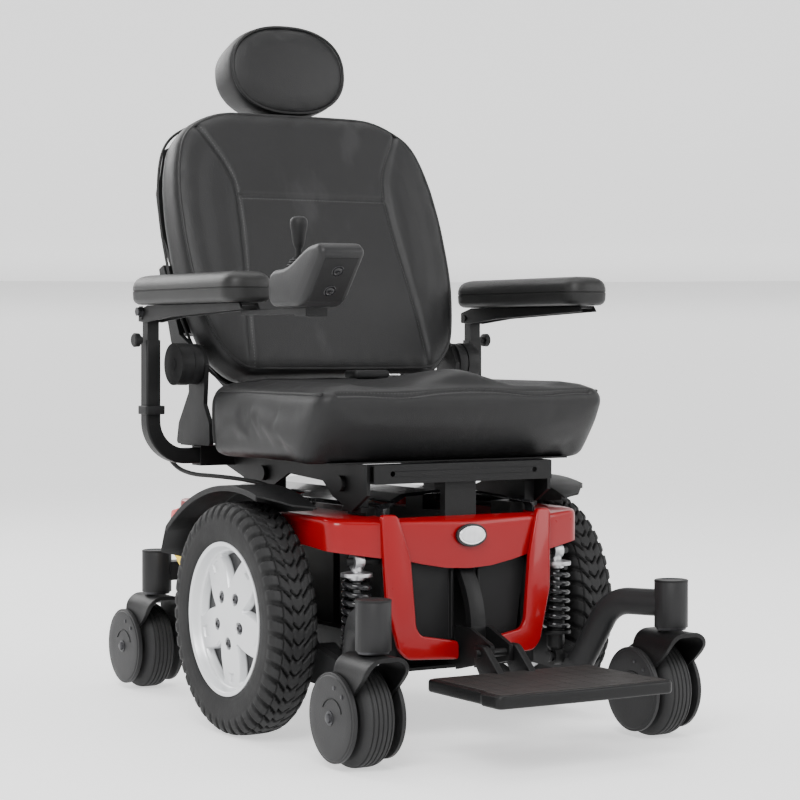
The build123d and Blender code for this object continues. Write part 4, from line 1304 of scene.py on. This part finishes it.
# ---------------------------------------------------------------- finishes on the CAD pieces
DRESS = {
    "gloss black": (2.5, ("top_cover",)),
    "chrome": (0.8, ("headrest_post",)),
    "moulded": (1.2, ("front_panel", "rear_cover", "fenders", "back_shell", "batteries")),
    "powder coat": (1.6, ("chassis_frame", "seat_posts", "footrest_mast", "arm_tubes", "recliner_brackets",
                          "arm_post", "arm_bracket", "shock_body")),
    "satin": (0.5, ("seat_frame",)),
    "stem coat": (1.8, ("suspension_arm", "rear_beam", "drive_motor")),
    "steel": (0.4, ("shock_rod",)),
    "yellow": (1.6, ("freewheel_lever",)),
    "cable": (0.0, ("joystick_cable",)),
}


def dress(node, finish, bevel):
    """Finish on a CAD piece: its vertices are welded, its edges get a small rounding, and a material."""
    weld = node.modifiers.new("Weld", "WELD")
    weld.merge_threshold = 0.00001
    if bevel:
        edge = node.modifiers.new("Edges", "BEVEL")
        edge.width = bevel * MM
        edge.segments = 2
        edge.limit_method = "ANGLE"
        edge.angle_limit = math.radians(28)
        edge.harden_normals = True
    node.data.materials.clear()
    node.data.materials.append(material(finish))


def dress_nodes():
    """Every CAD piece that still shows gets its finish."""
    for finish, (bevel, starts) in DRESS.items():
        for name, node in NODES.items():
            if name.startswith(starts) and not node.hide_render:
                dress(node, finish, bevel)
    bare = [name for name, node in NODES.items() if not node.hide_render and not node.modifiers]
    if bare:
        raise RuntimeError(f"CAD pieces without a finish: {bare}")


# ---------------------------------------------------------------- stage
def build_stage():
    """Pale floor that curves up into a wall all round."""
    bend = np.linspace(-math.pi / 2, 0, 12)
    profile = [(0, 1), (0, 7000)] + [(2000 + 2000 * math.sin(a), 7000 + 2000 * math.cos(a)) for a in bend]
    grid = turned(profile + [(6000, 9000)], (0, 0, 0), 96, "z")
    floor = grid_piece("studio_floor", grid, close_columns=True)
    work = bmesh.new()
    work.from_mesh(floor.data)
    bmesh.ops.reverse_faces(work, faces=[face for face in work.faces if face.normal.z < -0.5])
    work.to_mesh(floor.data)
    work.free()
    floor.data.materials.append(material("floor"))
    floor.data.shade_smooth()
    floor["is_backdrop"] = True


LIGHTS = {
    "key": ((-2.4, -2.6, 3.4), 2.2, 240.0),
    "fill": ((2.8, -2.6, 2.2), 2.6, 70.0),
    "top": ((0.3, 0.6, 4.2), 3.6, 130.0),
    "back": ((-1.0, 3.4, 2.6), 2.4, 110.0),
}


def build_lights():
    """Soft boxes aimed at the chair, and an even white sky."""
    for name, (place, width, power) in LIGHTS.items():
        lamp = bpy.data.lights.new(name, "AREA")
        lamp.shape, lamp.size, lamp.energy = "SQUARE", width, power
        holder = bpy.data.objects.new(name, lamp)
        holder.location = place
        aim = -holder.location
        aim.z += 0.5
        holder.rotation_euler = aim.to_track_quat("-Z", "Y").to_euler()
        bpy.context.scene.collection.objects.link(holder)
    world = bpy.data.worlds.new("Studio")
    world.use_nodes = True
    sky = world.node_tree.nodes["Background"].inputs
    sky["Color"].default_value = (1, 1, 1, 1)
    sky["Strength"].default_value = 0.4
    bpy.context.scene.world = world


def build_camera():
    """Level camera in front of the chair's right side, with a long lens and a lowered frame."""
    view = bpy.data.cameras.new("camera")
    view.lens, view.sensor_width, view.shift_y = 103.95, 36.0, -0.0732
    holder = bpy.data.objects.new("camera", view)
    holder.location = (-1.9034, -3.1891, 0.6017)
    holder.rotation_euler = (math.pi / 2, 0, math.radians(-31.24))
    bpy.context.scene.collection.objects.link(holder)
    bpy.context.scene.camera = holder


# ---------------------------------------------------------------- operators
class WHEELCHAIR_OT_seat(Operator):
    """Seat cushion, its piping and the lap belt."""

    bl_idname = "wheelchair.seat"
    bl_label = "Seat"

    def execute(self, context):
        build_seat()
        return {"FINISHED"}


class WHEELCHAIR_OT_back(Operator):
    """Back cushion with its seams."""

    bl_idname = "wheelchair.back"
    bl_label = "Backrest"

    def execute(self, context):
        build_back()
        return {"FINISHED"}


class WHEELCHAIR_OT_headrest(Operator):
    """Oval headrest."""

    bl_idname = "wheelchair.headrest"
    bl_label = "Headrest"

    def execute(self, context):
        build_headrest()
        return {"FINISHED"}


class WHEELCHAIR_OT_arm_pads(Operator):
    """Both armrest pads."""

    bl_idname = "wheelchair.arm_pads"
    bl_label = "Arm pads"

    def execute(self, context):
        build_arm_pads()
        return {"FINISHED"}


class WHEELCHAIR_OT_controller(Operator):
    """Joystick controller."""

    bl_idname = "wheelchair.controller"
    bl_label = "Controller"

    def execute(self, context):
        build_controller()
        return {"FINISHED"}


class WHEELCHAIR_OT_arm_details(Operator):
    """Straps, knobs and bolts of the arms."""

    bl_idname = "wheelchair.arm_details"
    bl_label = "Arm details"

    def execute(self, context):
        build_arm_details()
        return {"FINISHED"}


class WHEELCHAIR_OT_recliners(Operator):
    """Round covers of the recline hinge."""

    bl_idname = "wheelchair.recliners"
    bl_label = "Recliner caps"

    def execute(self, context):
        build_recliner_caps()
        return {"FINISHED"}


class WHEELCHAIR_OT_drive_wheels(Operator):
    """Tyres, rims and nuts."""

    bl_idname = "wheelchair.drive_wheels"
    bl_label = "Drive wheels"

    def execute(self, context):
        build_drive_wheels()
        return {"FINISHED"}


class WHEELCHAIR_OT_casters(Operator):
    """Caster tyres and covers."""

    bl_idname = "wheelchair.casters"
    bl_label = "Casters"

    def execute(self, context):
        build_casters()
        return {"FINISHED"}


class WHEELCHAIR_OT_forks(Operator):
    """Caster forks and stem caps."""

    bl_idname = "wheelchair.forks"
    bl_label = "Forks"

    def execute(self, context):
        build_forks()
        return {"FINISHED"}


class WHEELCHAIR_OT_springs(Operator):
    """Shock springs."""

    bl_idname = "wheelchair.springs"
    bl_label = "Springs"

    def execute(self, context):
        build_springs()
        return {"FINISHED"}


class WHEELCHAIR_OT_shroud(Operator):
    """Red bonnet."""

    bl_idname = "wheelchair.shroud"
    bl_label = "Shroud"

    def execute(self, context):
        build_shroud()
        return {"FINISHED"}


class WHEELCHAIR_OT_front(Operator):
    """Trim bars and badge."""

    bl_idname = "wheelchair.front"
    bl_label = "Front"

    def execute(self, context):
        build_front()
        return {"FINISHED"}


class WHEELCHAIR_OT_footplate(Operator):
    """Tray and pad."""

    bl_idname = "wheelchair.footplate"
    bl_label = "Foot platform"

    def execute(self, context):
        build_footplate()
        return {"FINISHED"}


class WHEELCHAIR_OT_trim(Operator):
    """Reflectors."""

    bl_idname = "wheelchair.trim"
    bl_label = "Trim"

    def execute(self, context):
        build_trim()
        return {"FINISHED"}


class WHEELCHAIR_OT_finishes(Operator):
    """Rounded edges and materials of the CAD pieces."""

    bl_idname = "wheelchair.finishes"
    bl_label = "Finishes"

    def execute(self, context):
        dress_nodes()
        return {"FINISHED"}


class WHEELCHAIR_OT_stage(Operator):
    """Floor, lights and camera."""

    bl_idname = "wheelchair.stage"
    bl_label = "Stage"

    def execute(self, context):
        build_stage()
        build_lights()
        build_camera()
        return {"FINISHED"}


OPERATORS = (
    WHEELCHAIR_OT_seat,
    WHEELCHAIR_OT_back,
    WHEELCHAIR_OT_headrest,
    WHEELCHAIR_OT_arm_pads,
    WHEELCHAIR_OT_controller,
    WHEELCHAIR_OT_arm_details,
    WHEELCHAIR_OT_recliners,
    WHEELCHAIR_OT_drive_wheels,
    WHEELCHAIR_OT_casters,
    WHEELCHAIR_OT_forks,
    WHEELCHAIR_OT_springs,
    WHEELCHAIR_OT_shroud,
    WHEELCHAIR_OT_front,
    WHEELCHAIR_OT_footplate,
    WHEELCHAIR_OT_trim,
    WHEELCHAIR_OT_finishes,
    WHEELCHAIR_OT_stage,
)


class WHEELCHAIR_PT_panel(Panel):
    """Lists the stages in the sidebar."""

    bl_label = "Wheelchair"
    bl_space_type = "VIEW_3D"
    bl_region_type = "UI"
    bl_category = "Wheelchair"

    def draw(self, context):
        """One button for each stage."""
        for operator in OPERATORS:
            self.layout.operator(operator.bl_idname)


CLASSES = (WheelchairSizes, WheelchairColours, *OPERATORS, WHEELCHAIR_PT_panel)


def register():
    """Add the classes and the settings."""
    for item in CLASSES:
        bpy.utils.register_class(item)
    bpy.types.Scene.wheelchair_sizes = PointerProperty(type=WheelchairSizes)
    bpy.types.Scene.wheelchair_colours = PointerProperty(type=WheelchairColours)


def unregister():
    """Take them away again."""
    del bpy.types.Scene.wheelchair_colours
    del bpy.types.Scene.wheelchair_sizes
    for item in reversed(CLASSES):
        bpy.utils.unregister_class(item)


def main():
    """Run every stage in order."""
    register()
    for operator in OPERATORS:
        getattr(bpy.ops.wheelchair, operator.bl_idname.split(".")[1])()
    bpy.context.view_layer.update()
    boxes = {"cad": CAD_BOX, "finished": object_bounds()}
    found = {name: [list(corner) for corner in box] for name, box in boxes.items()}


if __name__ == "__main__":
    main()
